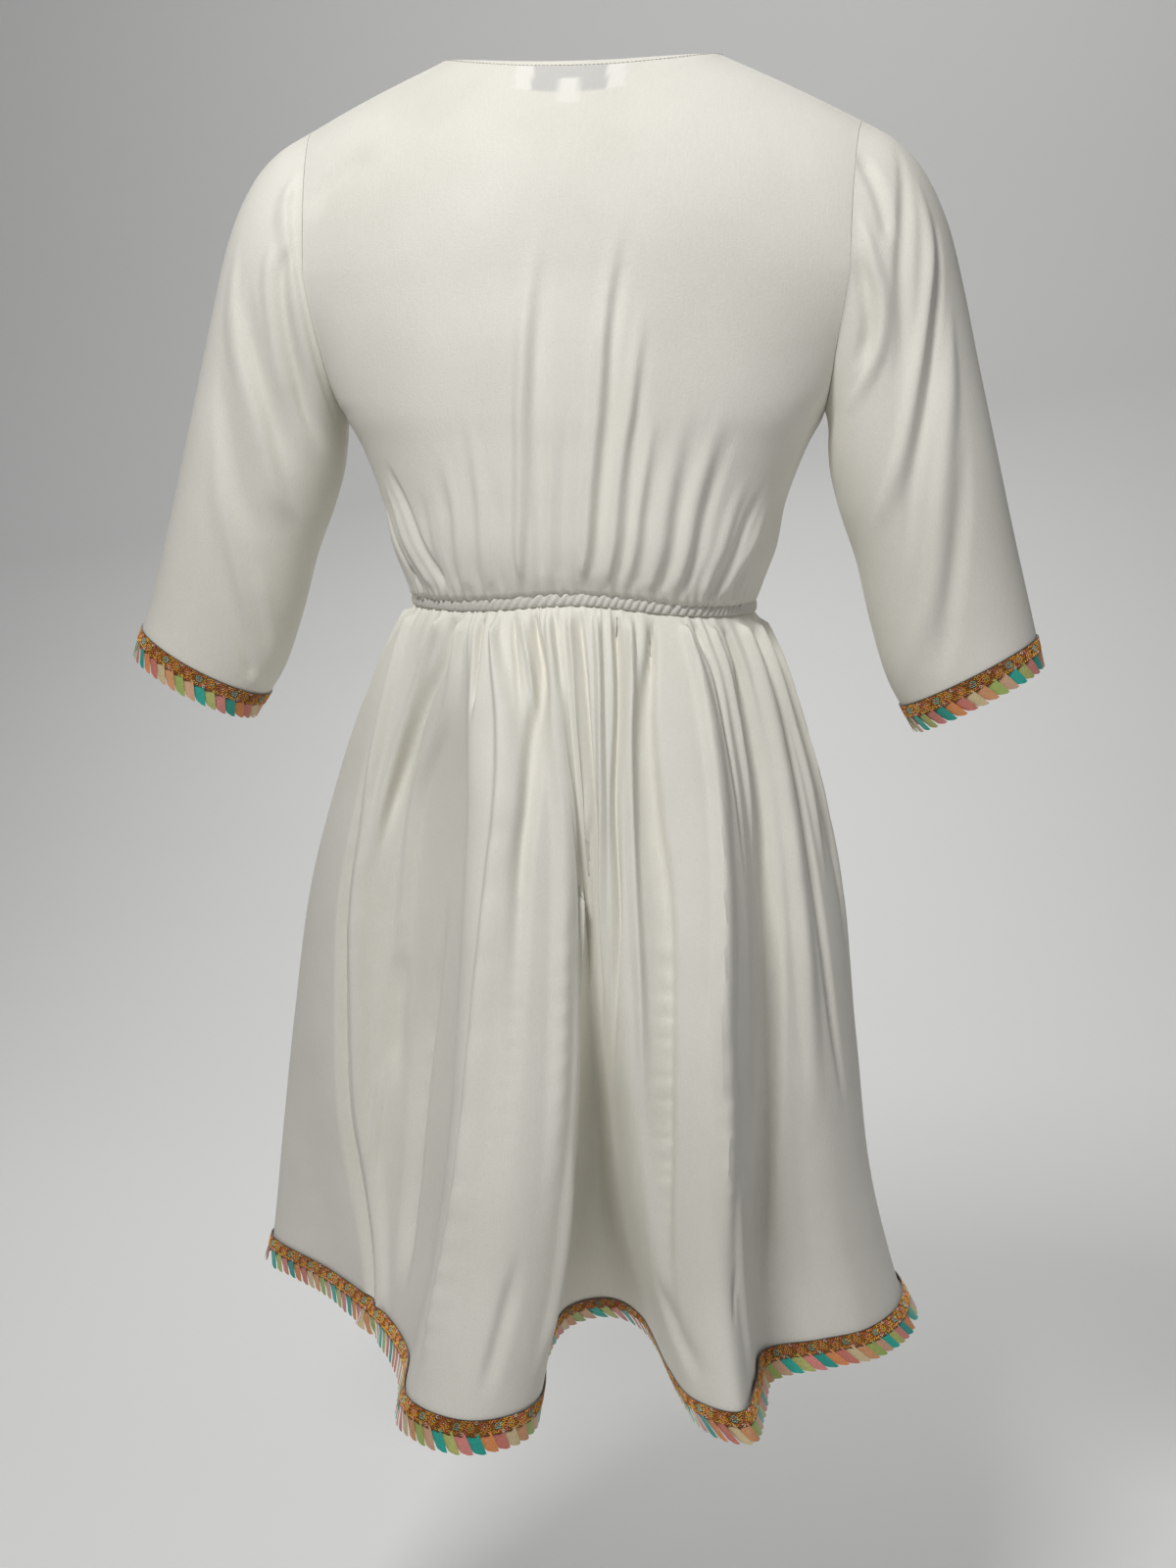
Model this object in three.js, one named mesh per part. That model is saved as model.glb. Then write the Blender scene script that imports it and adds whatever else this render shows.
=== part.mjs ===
// A short kurti: gathered bodice, elastic waist, flared gathered skirt, three-quarter sleeves,
// and a two-part trim (embroidered lace over a pleated ribbon ruffle) at the cuffs and hem.
//
// Millimetres, +Z up. The origin is midway between the two shoulder seams' neck ends, where the
// wearer's shoulders hold the garment. The back faces +Y and the wearer's left is +X.
// Every cloth piece is a closed wall: a grid of outer points and the same grid moved inwards.
// Grids run from the wearer's left, over the back, to the right and round the front, bottom row first.

import * as THREE from "three";

// Driving sizes.
const SHOULDER_WIDTH = 384;
const NECK_WIDTH = 194;
const SHOULDER_DROP = 44;
const BLADE_LEVEL = -145; // the fullest level of the back, halfway down the armhole
const ARMHOLE_BOTTOM = -238;
const WAIST_LEVEL = -370; // the middle of the elastic casing
const HEM_LEVEL = -888; // the skirt's cut edge; the ruffle hangs below it
const CLOTH = 1.2; // wall thickness of the crepe
const SEAM_GAP = 0.35;

const NECK = {
  back: { drop: 10, reach: 58 },
  front: { drop: 104, reach: 74 },
  share: 0.35, // the neckline's share of a panel's width, measured in columns
  slope: THREE.MathUtils.degToRad(52), // how far the cloth has turned inwards at the centre
};
const ARMHOLE = { back: 58, front: 54 }; // how far the armhole reaches back and forward of the seam
const CASING = { height: 9.4, proud: 2.2, inside: 2.6 };
const LACE = { thick: 1.1 };
const RUFFLE = { below: 1.6, drop: 11.6, thick: 1, tab: 1.7, tooth: 2, lean: 0.3, step: 0.06 };
const LABEL = { width: 74, height: 22, top: 1.5, thick: 0.7, inset: 2.4 };
const SIZE_TAB = { width: 14, height: 20, top: 12, thick: 0.7, inset: 3.6 };

// Counts.
const BODICE_GATHERS = 20; // on each panel, each two columns wide
const SKIRT_GATHERS = 18; // on each panel, each four columns wide
const HEM_TABS = 84;
const CUFF_TABS = 18;

// The bodice's level sections: half width at the seams, reach of the back and front at the centre,
// and how deep the waist's gathers still are.
const bodiceSections = [
  { z: -370, half: 122, back: 80, front: 93, gather: 1.7 },
  { z: -352, half: 129, back: 88, front: 101, gather: 1.5 },
  { z: -330, half: 138, back: 93, front: 109, gather: 1.0 },
  { z: -300, half: 144, back: 95, front: 117, gather: 0.5 },
  { z: -262, half: 158, back: 96, front: 124, gather: 0.2 },
  { z: -238, half: 170, back: 97, front: 125, gather: 0.0 },
  { z: -195, half: 178, back: 98, front: 118, gather: 0.0 },
  { z: -145, half: 186, back: 97, front: 103, gather: 0.0 },
];
const ROUND_AT_WAIST = 0.9; // a power of the cosine: 1 is an ellipse and 2 a shallow arch
const ROUND_AT_BLADES = 1.9;

// The long soft ridges of the back: place across the panel (-1 to 1) at the waist and at their top
// end, the top end's level, and their height. Positive places are on the wearer's left.
const backRidges = [
  { waist: 0.13, top: 0.04, level: -100, height: 3.2 },
  { waist: -0.075, top: -0.13, level: -105, height: 3.2 },
  { waist: -0.155, top: -0.19, level: -150, height: 2.8 },
  { waist: -0.32, top: -0.3, level: -240, height: 2.2 },
];
const RIDGE_WIDTH = 0.045; // in panel widths

// Levels of the bodice's rows below the shoulder blades, and shares of the way from there to the top edge.
const bodiceLevels = [-352, -330, -300, -262, ARMHOLE_BOTTOM, -228, -200, BLADE_LEVEL];
const yokeShares = [0.3, 0.6, 0.85];

// The sleeve's rings, armhole to cuff: where the outer fold and the inner seam lie, the ring's depth
// from front to back, and how far its middle has swung forward.
const sleeveSections = [
  { outerX: 192, outerZ: -44, innerX: 171, innerZ: -238, depth: 56, forward: 0 },
  { outerX: 216, outerZ: -58, innerX: 172, innerZ: -244, depth: 57, forward: 0 },
  { outerX: 235, outerZ: -79, innerX: 173, innerZ: -252, depth: 57, forward: 1 },
  { outerX: 251, outerZ: -112, innerX: 173, innerZ: -264, depth: 56, forward: 3 },
  { outerX: 263, outerZ: -154, innerX: 175, innerZ: -282, depth: 55, forward: 6 },
  { outerX: 275, outerZ: -205, innerX: 182, innerZ: -308, depth: 53, forward: 9 },
  { outerX: 289, outerZ: -262, innerX: 194, innerZ: -342, depth: 51, forward: 13 },
  { outerX: 304, outerZ: -323, innerX: 204, innerZ: -382, depth: 49, forward: 18 },
  { outerX: 317, outerZ: -373, innerX: 217, innerZ: -424, depth: 47, forward: 22 },
  { outerX: 325, outerZ: -404, innerX: 233, innerZ: -454, depth: 46, forward: 25 },
];
const LEFT_SWING = 16; // how much further out the left cuff hangs than the right one

// The sleeve's long folds: angle round the ring (0 is the outer fold, 90 the back) at the cap and at
// the cuff, the half width in degrees, the height, and the rings between which it shows.
const sleeveFolds = [
  { cap: 62, cuff: 22, width: 32, height: 4, from: 0, to: 7 },
  { cap: 130, cuff: 74, width: 30, height: 4.5, from: 1, to: 8 },
  { cap: 240, cuff: 300, width: 34, height: 4, from: 1, to: 8 },
];

// The skirt's level sections: half width, how far its middle has moved to the wearer's left, reach of
// the back and front before its folds, how much of the hem's folds and of their bow shows at that
// level, and how deep the waist's gathers still are.
const skirtSections = [
  { z: -375, half: 122, left: 0, back: 80, front: 93, fold: 0.0, bow: 0.0, gather: 2.2 },
  { z: -388, half: 131, left: 1, back: 86, front: 98, fold: 0.03, bow: 0.08, gather: 2.6 },
  { z: -410, half: 141, left: 2, back: 94, front: 104, fold: 0.1, bow: 0.25, gather: 2.4 },
  { z: -450, half: 153, left: 4, back: 105, front: 113, fold: 0.22, bow: 0.5, gather: 1.5 },
  { z: -505, half: 166, left: 5, back: 116, front: 122, fold: 0.36, bow: 0.78, gather: 0.7 },
  { z: -590, half: 181, left: 7, back: 129, front: 134, fold: 0.54, bow: 1.0, gather: 0.2 },
  { z: -690, half: 190, left: 8, back: 139, front: 142, fold: 0.7, bow: 1.0, gather: 0.0 },
  { z: -790, half: 198, left: 8, back: 146, front: 148, fold: 0.85, bow: 0.7, gather: 0.0 },
  { z: -878, half: 211, left: 2, back: 151, front: 153, fold: 0.985, bow: 0.08, gather: 0.0 },
  { z: HEM_LEVEL, half: 216, left: 0, back: 152, front: 154, fold: 1.0, bow: 0.0, gather: 0.0 },
];

// The hem seen from above, from the left side seam round the back; the share of the waist that each
// point hangs from (0 is the left side, 0.25 the centre back and 0.5 the right side); and how far the
// cloth above it bows away, to the left and to the back, between the waist and the hem.
const hemPoints = [
  { name: "left side seam", x: 253, y: -21, waist: 0.0, bowX: 2, bowY: 0 },
  { name: "left panel", x: 190, y: 36, waist: 0.055, bowX: -3, bowY: 9 },
  { name: "left panel hollow", x: 137, y: 99, waist: 0.108, bowX: -14, bowY: -30 },
  { name: "left fold, outer flank", x: 103, y: 161, waist: 0.15, bowX: -34, bowY: -16 },
  { name: "left fold, outer edge", x: 86, y: 230, waist: 0.168, bowX: -27, bowY: 0 },
  { name: "left fold, crest", x: 39, y: 256, waist: 0.192, bowX: -30, bowY: 0 },
  { name: "left fold, inner edge", x: 1, y: 222, waist: 0.215, bowX: -36, bowY: 0 },
  { name: "left fold, inner flank", x: 8, y: 137, waist: 0.23, bowX: -38, bowY: 34 },
  { name: "centre hollow, left", x: 2, y: 72, waist: 0.242, bowX: -30, bowY: 58 },
  { name: "centre hollow", x: -28, y: 50, waist: 0.256, bowX: -14, bowY: 62 },
  { name: "centre hollow, right", x: -57, y: 79, waist: 0.271, bowX: -3, bowY: 58 },
  { name: "right fold, inner flank", x: -85, y: 160, waist: 0.29, bowX: 6, bowY: 24 },
  { name: "right fold, inner edge", x: -106, y: 204, waist: 0.312, bowX: 7, bowY: 0 },
  { name: "right fold, crest", x: -138, y: 218, waist: 0.35, bowX: -4, bowY: 0 },
  { name: "right fold, outer edge", x: -144, y: 172, waist: 0.376, bowX: -12, bowY: 0 },
  { name: "right panel hollow", x: -148, y: 126, waist: 0.396, bowX: -11, bowY: -10 },
  { name: "right panel", x: -188, y: 103, waist: 0.425, bowX: 0, bowY: 0 },
  { name: "right panel, outer", x: -221, y: 80, waist: 0.46, bowX: 0, bowY: 0 },
  { name: "right side seam", x: -243, y: 33, waist: 0.492, bowX: 0, bowY: 0 },
  { name: "front right panel", x: -240, y: -22, waist: 0.52, bowX: 0, bowY: 0 },
  { name: "front right panel hollow", x: -196, y: -82, waist: 0.56, bowX: 0, bowY: 0 },
  { name: "front right fold, outer edge", x: -158, y: -156, waist: 0.598, bowX: 0, bowY: 0 },
  { name: "front right fold, crest", x: -126, y: -184, waist: 0.626, bowX: 0, bowY: 0 },
  { name: "front right fold, inner edge", x: -94, y: -158, waist: 0.652, bowX: 0, bowY: 0 },
  { name: "front right hollow", x: -64, y: -88, waist: 0.69, bowX: 0, bowY: 0 },
  { name: "front fold, right edge", x: -34, y: -166, waist: 0.727, bowX: 0, bowY: 0 },
  { name: "front fold, crest", x: 4, y: -194, waist: 0.755, bowX: 0, bowY: 0 },
  { name: "front fold, left edge", x: 42, y: -166, waist: 0.783, bowX: 0, bowY: 0 },
  { name: "front left hollow", x: 70, y: -90, waist: 0.82, bowX: 0, bowY: 0 },
  { name: "front left fold, inner edge", x: 98, y: -156, waist: 0.856, bowX: 0, bowY: 0 },
  { name: "front left fold, crest", x: 132, y: -182, waist: 0.884, bowX: 0, bowY: 0 },
  { name: "front left fold, outer edge", x: 166, y: -152, waist: 0.91, bowX: 0, bowY: 0 },
  { name: "front left panel hollow", x: 204, y: -92, waist: 0.946, bowX: 0, bowY: 0 },
  { name: "front left panel", x: 243, y: -58, waist: 0.977, bowX: 0, bowY: 0 },
];

const HALF_TURN = Math.PI;
const QUARTER_TURN = Math.PI / 2;
const radians = THREE.MathUtils.degToRad;
const lerp = THREE.MathUtils.lerp;

// ---- Small helpers ----------------------------------------------------------------------------

const rangeOf = (count, make) => Array.from({ length: count + 1 }, (_, i) => make(i / count, i));

// A table's columns at a place along it, on a smooth curve through its rows.
function sectionAt(rows, key, place) {
  const rising = rows[0][key] < rows.at(-1)[key];
  const past = rows.findIndex((r) => (rising ? r[key] >= place : r[key] <= place));
  const i = THREE.MathUtils.clamp(past, 1, rows.length - 1);
  const [before, a, b, after] = [rows[i - 2] ?? rows[i - 1], rows[i - 1], rows[i], rows[i + 1] ?? rows[i]];
  const step = b[key] - a[key];
  const t = THREE.MathUtils.clamp((place - a[key]) / step, 0, 1);
  const found = {};
  for (const column of Object.keys(a)) {
    const slopeA = ((b[column] - before[column]) / (b[key] - before[key])) * step;
    const slopeB = ((after[column] - a[column]) / (after[key] - a[key])) * step;
    const rise = b[column] - a[column];
    found[column] =
      a[column] + t * slopeA + t * t * (3 * rise - 2 * slopeA - slopeB) + t ** 3 * (slopeA + slopeB - 2 * rise);
  }
  return found;
}

// 1 at the middle of a fold and 0 at its edges.
function bump(distance, width) {
  const t = Math.min(1, Math.abs(distance) / width);
  return (1 + Math.cos(t * HALF_TURN)) / 2;
}

// The outward normal at each point of a grid. A closed grid's columns run round a tube.
function normalsOf(grid, closed) {
  const columns = grid[0].length;
  const at = (r, c) => grid[r][closed ? (c + columns) % columns : THREE.MathUtils.clamp(c, 0, columns - 1)];
  return grid.map((row, r) =>
    row.map((_, c) => {
      const along = at(r, c + 1).clone().sub(at(r, c - 1));
      const up = at(Math.min(r + 1, grid.length - 1), c).clone().sub(at(Math.max(r - 1, 0), c));
      return along.cross(up).normalize();
    }),
  );
}

// The grid moved outwards along its own normals; a negative distance moves it inwards.
function moved(grid, distance, closed) {
  const normals = normalsOf(grid, closed);
  return grid.map((row, r) => row.map((p, c) => p.clone().addScaledVector(normals[r][c], distance)));
}

// A closed wall between an outer and an inner grid.
function wallBetween(outer, inner, closed) {
  const rows = outer.length;
  const columns = outer[0].length;
  const positions = [outer, inner].flatMap((grid) => grid.flatMap((row) => row.flatMap((p) => p.toArray())));
  const faces = [];
  const out = (r, c) => r * columns + (c % columns);
  const inn = (r, c) => rows * columns + out(r, c);
  const gap = (a, b) => Math.hypot(...[0, 1, 2].map((i) => positions[3 * a + i] - positions[3 * b + i]));
  const quad = (a, b, c, d) => {
    if (gap(a, c) <= gap(b, d)) faces.push(a, b, c, a, c, d);
    else faces.push(a, b, d, b, c, d);
  };
  const spans = closed ? columns : columns - 1;
  for (let c = 0; c < spans; c++) {
    for (let r = 0; r + 1 < rows; r++) {
      quad(out(r, c), out(r, c + 1), out(r + 1, c + 1), out(r + 1, c));
      quad(inn(r, c), inn(r + 1, c), inn(r + 1, c + 1), inn(r, c + 1));
    }
    quad(out(0, c), inn(0, c), inn(0, c + 1), out(0, c + 1));
    quad(out(rows - 1, c), out(rows - 1, c + 1), inn(rows - 1, c + 1), inn(rows - 1, c));
  }
  for (let r = 0; !closed && r + 1 < rows; r++) {
    const last = columns - 1;
    quad(out(r, 0), out(r + 1, 0), inn(r + 1, 0), inn(r, 0));
    quad(out(r, last), inn(r, last), inn(r + 1, last), out(r + 1, last));
  }
  const geometry = new THREE.BufferGeometry();
  geometry.setAttribute("position", new THREE.Float32BufferAttribute(positions, 3));
  geometry.setIndex(faces);
  return geometry;
}

// A grid without its outermost columns, which only steer the slope at a seam.
const withoutEnds = (grid) => grid.map((row) => row.slice(1, -1));

// The same grid on the other side of the body, its columns still running the outward way.
const mirrored = (grid) =>
  grid.map((row) => row.map((p) => new THREE.Vector3(-p.x, p.y, p.z)).reverse());

// ---- Waist ------------------------------------------------------------------------------------

// The waistline rises at the centre back and sinks a little towards the wearer's right.
// share: 0 at the left side, 0.25 at the centre back, 0.5 at the right side, 0.75 at the front.
function waistRise(share) {
  const centreBack = 8 * Math.exp(-(((share - 0.26) / 0.075) ** 2));
  const rightSide = 1.75 * (1 - Math.cos(2 * HALF_TURN * share));
  return centreBack - rightSide;
}

// ---- Bodice -----------------------------------------------------------------------------------

// side is 1 for the back and -1 for the front. across runs from 1 at the wearer's left to -1.
const waistShare = (side, across) => (side > 0 ? 0.25 - across / 4 : 0.75 + across / 4);

function ridgeHeight(across, level) {
  return backRidges.reduce((sum, ridge) => {
    const up = (level - WAIST_LEVEL) / (ridge.level - WAIST_LEVEL);
    const fade = up < 1 ? Math.min(1, 4 * up) * Math.min(1, 3 * (1 - up)) : 0;
    return sum + ridge.height * fade * bump(across - lerp(ridge.waist, ridge.top, up), RIDGE_WIDTH);
  }, 0);
}

// A point of a panel between the waist and the shoulder blades.
function lowerBodice(side, across, level) {
  const s = sectionAt(bodiceSections, "z", level);
  const reach = side > 0 ? s.back : s.front;
  const armhole = side > 0 ? ARMHOLE.back : ARMHOLE.front;
  const down = THREE.MathUtils.clamp((level - BLADE_LEVEL) / (ARMHOLE_BOTTOM - BLADE_LEVEL), 0, 1);
  const edge = armhole * Math.sqrt(1 - down ** 2);
  const angle = across * QUARTER_TURN;
  const cosine = Math.max(0, Math.cos(angle));
  const yoke = THREE.MathUtils.smoothstep(level, -290, BLADE_LEVEL);
  const arch = lerp(
    reach * cosine ** ROUND_AT_WAIST,
    armhole + (reach - armhole) * cosine ** ROUND_AT_BLADES,
    yoke,
  );
  const toEdge = (edge - yoke * armhole) * Math.abs(across) ** 8;
  const wave = s.gather * Math.cos(HALF_TURN * BODICE_GATHERS * (across + 1));
  const lift = wave + (side > 0 ? ridgeHeight(across, level) : 0);
  const aboveWaist = THREE.MathUtils.smoothstep(level, WAIST_LEVEL + CASING.height / 2, -300);
  return new THREE.Vector3(
    (s.half + lift) * Math.sin(angle),
    side * (SEAM_GAP / 2 + arch + toEdge + lift * cosine),
    level + waistRise(waistShare(side, across)) * (1 - aboveWaist),
  );
}

// The top edge of a panel: the shoulder seams, with the neckline between them.
function topEdge(side, across) {
  const seam = side * (SEAM_GAP / 2);
  if (Math.abs(across) <= NECK.share) {
    const angle = (across / NECK.share) * QUARTER_TURN;
    const { drop, reach } = side > 0 ? NECK.back : NECK.front;
    return new THREE.Vector3(
      (NECK_WIDTH / 2) * Math.sin(angle),
      seam + side * reach * Math.cos(angle),
      -drop * Math.cos(angle) ** 2,
    );
  }
  const along = (Math.abs(across) - NECK.share) / (1 - NECK.share);
  const x = lerp(NECK_WIDTH / 2, SHOULDER_WIDTH / 2, along);
  return new THREE.Vector3(Math.sign(across) * x, seam, -SHOULDER_DROP * along);
}

// A point of a panel between the shoulder blades (share 0) and its top edge (share 1). The cloth
// arrives level at the shoulder seams, and still sloping at the middle of the neckline.
function upperBodice(side, across, share) {
  const low = lowerBodice(side, across, BLADE_LEVEL);
  const top = topEdge(side, across);
  const nearSeam = THREE.MathUtils.smoothstep(Math.abs(across), 0, NECK.share);
  const end = lerp(NECK.slope, QUARTER_TURN, nearSeam);
  const back = (1 - Math.cos(share * end)) / (1 - Math.cos(end));
  const up = Math.sin(share * end) / Math.sin(end);
  return new THREE.Vector3(lerp(low.x, top.x, back), lerp(low.y, top.y, back), lerp(low.z, top.z, up));
}

// The share at which a column of the upper bodice is that far below its top edge.
function shareBelowTop(side, across, distance) {
  const edge = topEdge(side, across);
  let share = 1;
  while (upperBodice(side, across, share).distanceTo(edge) < distance) share -= 0.001;
  return share;
}

// Even columns, which hold both neck ends: from the wearer's left to the right on the back, and the
// other way on the front.
const panelColumns = (side) => rangeOf(2 * BODICE_GATHERS, (t) => side * lerp(1, -1, t));

function bodiceGrid(side) {
  const bottom = WAIST_LEVEL + CASING.height / 2 + SEAM_GAP;
  const columns = panelColumns(side);
  const lower = [bottom, ...bodiceLevels].map((level) => columns.map((a) => lowerBodice(side, a, level)));
  const upper = [...yokeShares, 1].map((share) => columns.map((a) => upperBodice(side, a, share)));
  return [...lower, ...upper];
}

// A panel's inner face stays on its own side of the shoulder and side seams.
function bodicePanel(grid, side) {
  const inner = moved(grid, -CLOTH, false).map((row) =>
    row.map((p) => p.setY(side * Math.max(side * p.y, SEAM_GAP / 2))),
  );
  return wallBetween(grid, inner, false);
}

// A flat patch of a given width and height inside the back neck.
function neckPatch({ width, height, top, thick, inset }) {
  const halfAcross = (Math.asin(width / NECK_WIDTH) / QUARTER_TURN) * NECK.share;
  const grid = rangeOf(3, (v) =>
    rangeOf(8, (u) => {
      const across = lerp(halfAcross, -halfAcross, u);
      return upperBodice(1, across, shareBelowTop(1, across, top + height * (1 - v)));
    }),
  );
  return wallBetween(moved(grid, -inset, false), moved(grid, -inset - thick, false), false);
}

// ---- Sleeve (the wearer's left; the right is its mirror image) ----------------------------------

// The armhole's edge: 0 at the shoulder, a quarter turn at the back, a half turn under the arm.
function armholePoint(angle) {
  const side = angle <= HALF_TURN ? 1 : -1;
  const fromTop = side > 0 ? angle : 2 * HALF_TURN - angle;
  if (fromTop <= QUARTER_TURN) return upperBodice(side, 1, 1 - fromTop / QUARTER_TURN);
  return lowerBodice(side, 1, BLADE_LEVEL + (BLADE_LEVEL - ARMHOLE_BOTTOM) * Math.cos(fromTop));
}

function sleeveFoldHeight(angle, ring) {
  return sleeveFolds.reduce((sum, fold) => {
    const along = (ring - fold.from) / (fold.to - fold.from);
    if (along <= 0 || along >= 1) return sum;
    const middle = radians(lerp(fold.cap, fold.cuff, along));
    return sum + fold.height * Math.sin(along * HALF_TURN) * bump(angle - middle, radians(fold.width));
  }, 0);
}

const sleeveRows = sleeveSections.map((row, ring) => ({ ...row, ring }));
const cuffRing = sleeveSections.length - 1;

// ring counts sleeveSections' rows and may lie between two of them. swing moves the cuff outwards.
function sleevePoint(angle, ring, swing) {
  const s = sectionAt(sleeveRows, "ring", ring);
  const out = swing * (ring / cuffRing) ** 2;
  const outer = new THREE.Vector3(s.outerX + out, -s.forward, s.outerZ);
  const inner = new THREE.Vector3(s.innerX + out, -s.forward, s.innerZ);
  const middle = outer.clone().add(inner).multiplyScalar(0.5);
  const arm = outer.clone().sub(middle);
  const fold = sleeveFoldHeight(angle, ring);
  return middle
    .addScaledVector(arm, Math.cos(angle) * (1 + fold / arm.length()))
    .add(new THREE.Vector3(0, (s.depth + fold) * Math.sin(angle), 0));
}

const sleeveAngle = (u) => 2 * HALF_TURN * u;
const laceRing = cuffRing - 0.33; // where the cuff's lace begins

// The armhole's points meet the bodice's rows, with one more halfway between each two of them.
function armholeAngles() {
  const yoke = yokeShares.map((share) => (1 - share) * QUARTER_TURN).reverse();
  const under = bodiceLevels.filter((level) => level >= ARMHOLE_BOTTOM && level < BLADE_LEVEL).reverse();
  const lower = under.map((level) => Math.acos((level - BLADE_LEVEL) / (BLADE_LEVEL - ARMHOLE_BOTTOM)));
  const back = [0, ...yoke, QUARTER_TURN, ...lower];
  const front = back.slice(1, -1).map((angle) => 2 * HALF_TURN - angle);
  return [...back, ...front.reverse()];
}

function sleeveGrid(swing) {
  const rows = armholeAngles();
  const between = (list, half) => list.flatMap((a, i) => [a, half(a, list[(i + 1) % list.length])]);
  const angles = between(rows, (a, b) => (a + (b < a ? b + 2 * HALF_TURN : b)) / 2);
  const rings = [...sleeveSections.keys()].slice(1);
  rings.splice(-1, 0, laceRing);
  const seam = rows.map((angle) => armholePoint(angle).add(new THREE.Vector3(SEAM_GAP, 0, 0)));
  const armhole = between(seam, (a, b) => a.clone().lerp(b, 0.5));
  const lower = rings.map((ring) => angles.map((angle) => sleevePoint(angle, ring, swing)));
  return [armhole, ...lower].reverse();
}

// The sleeve's inner face doesn't reach past its armhole edge into the bodice.
function sleeveInside(grid) {
  const inner = moved(grid, -CLOTH, true);
  grid.at(-1).forEach((p, c) => inner.at(-1)[c].setX(Math.max(p.x, inner.at(-1)[c].x)));
  return inner;
}

// ---- Skirt --------------------------------------------------------------------------------------

function waistPlan(share, section) {
  const angle = 2 * HALF_TURN * share;
  const reach = Math.sin(angle) > 0 ? section.back : section.front;
  return new THREE.Vector3(section.half * Math.cos(angle), reach * Math.sin(angle), 0);
}

const smoothLoop = (points) => new THREE.CatmullRomCurve3(points, true, "catmullrom", 0.5);
const hemCurve = smoothLoop(hemPoints.map(({ x, y }) => new THREE.Vector3(x, y, 0)));
hemCurve.arcLengthDivisions = 2000;
const bowCurve = smoothLoop(hemPoints.map(({ bowX, bowY }) => new THREE.Vector3(bowX, bowY, 0)));
const waistUnit = { half: 1, back: 1, front: 1 };
const waistCurve = smoothLoop(hemPoints.map(({ waist }) => waistPlan(waist, waistUnit)));

// Where along the hem curve a named point lies.
const hemPlace = (name) => hemPoints.findIndex((point) => point.name === name) / hemPoints.length;
const LEFT_SEAM = hemPlace("left side seam");
const RIGHT_SEAM = hemPlace("right side seam");

// Even steps of the hem's length between two places of the hem curve, ending an inset short of each,
// with some further steps beyond both ends.
function hemPlaces(from, to, count, inset, beyond) {
  const lengths = hemCurve.getLengths();
  const whole = lengths.at(-1);
  const lengthAt = (place) => {
    const exact = (place % 1) * (lengths.length - 1);
    const i = Math.floor(exact);
    return lerp(lengths[i], lengths[Math.min(i + 1, lengths.length - 1)], exact - i) + Math.floor(place) * whole;
  };
  const [start, end] = [lengthAt(from) + inset, lengthAt(to) - inset];
  const placeAt = (t) => hemCurve.getUtoTmapping((lerp(start, end, t) / whole + 1) % 1, 0);
  return rangeOf(count + 2 * beyond, (_, i) => placeAt((i - beyond) / count));
}

function skirtPoint(place, level) {
  const s = sectionAt(skirtSections, "z", level);
  const hem = hemCurve.getPoint(place);
  const direction = waistCurve.getPoint(place).normalize();
  const share = (Math.atan2(direction.y, direction.x) / (2 * HALF_TURN) + 1) % 1;
  const plan = waistPlan(share, s);
  const folded = hem.sub(waistPlan(share, skirtSections.at(-1))).multiplyScalar(s.fold);
  const wave = s.gather * Math.cos(2 * HALF_TURN * 2 * SKIRT_GATHERS * share);
  const nearWaist = THREE.MathUtils.smoothstep(level, -520, WAIST_LEVEL - CASING.height / 2);
  return plan
    .setX(plan.x + s.left)
    .add(folded)
    .addScaledVector(bowCurve.getPoint(place), s.bow)
    .addScaledVector(direction, wave)
    .setZ(level + waistRise(share) * nearWaist);
}

const skirtTop = WAIST_LEVEL - CASING.height / 2 - SEAM_GAP;
const skirtLevels = [skirtTop, ...skirtSections.slice(1).map((row) => row.z)].reverse();

// The grid has a column beyond each seam.
function skirtGrid(from, to) {
  const places = hemPlaces(from, to, 4 * SKIRT_GATHERS, SEAM_GAP / 2, 1);
  return skirtLevels.map((level) => places.map((place) => skirtPoint(place, level)));
}

// ---- Elastic casing -------------------------------------------------------------------------------

// A rounded band round the waist. Its section's corners: how far up, in half heights, and how far out.
const casingSection = [
  { up: -1, out: 0.3 },
  { up: -0.6, out: 1 },
  { up: 0.6, out: 1 },
  { up: 1, out: 0.3 },
];
const CASING_COLUMNS = 60;

function casingGeometry() {
  const section = { half: 122, back: 80, front: 93 };
  const ring = (inward) =>
    casingSection.map(({ up, out }) =>
      rangeOf(CASING_COLUMNS, (u) => {
        const grown = out * (inward ? -CASING.inside : CASING.proud);
        const rim = waistPlan(u, {
          half: section.half + grown,
          back: section.back + grown,
          front: section.front + grown,
        });
        return rim.setZ(WAIST_LEVEL + waistRise(u) + (up * CASING.height) / 2);
      }).slice(0, -1),
    );
  return wallBetween(ring(false), ring(true), true);
}

// ---- Trims --------------------------------------------------------------------------------------

// Lace lies on the two lowest rows of a panel or sleeve, moved out.
function laceOn(grid, closed) {
  const rows = (distance) => moved(grid, distance, closed).slice(0, 2);
  const [outer, inner] = [rows(SEAM_GAP + LACE.thick), rows(SEAM_GAP)];
  return closed ? wallBetween(outer, inner, true) : wallBetween(withoutEnds(outer), withoutEnds(inner), false);
}

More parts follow.
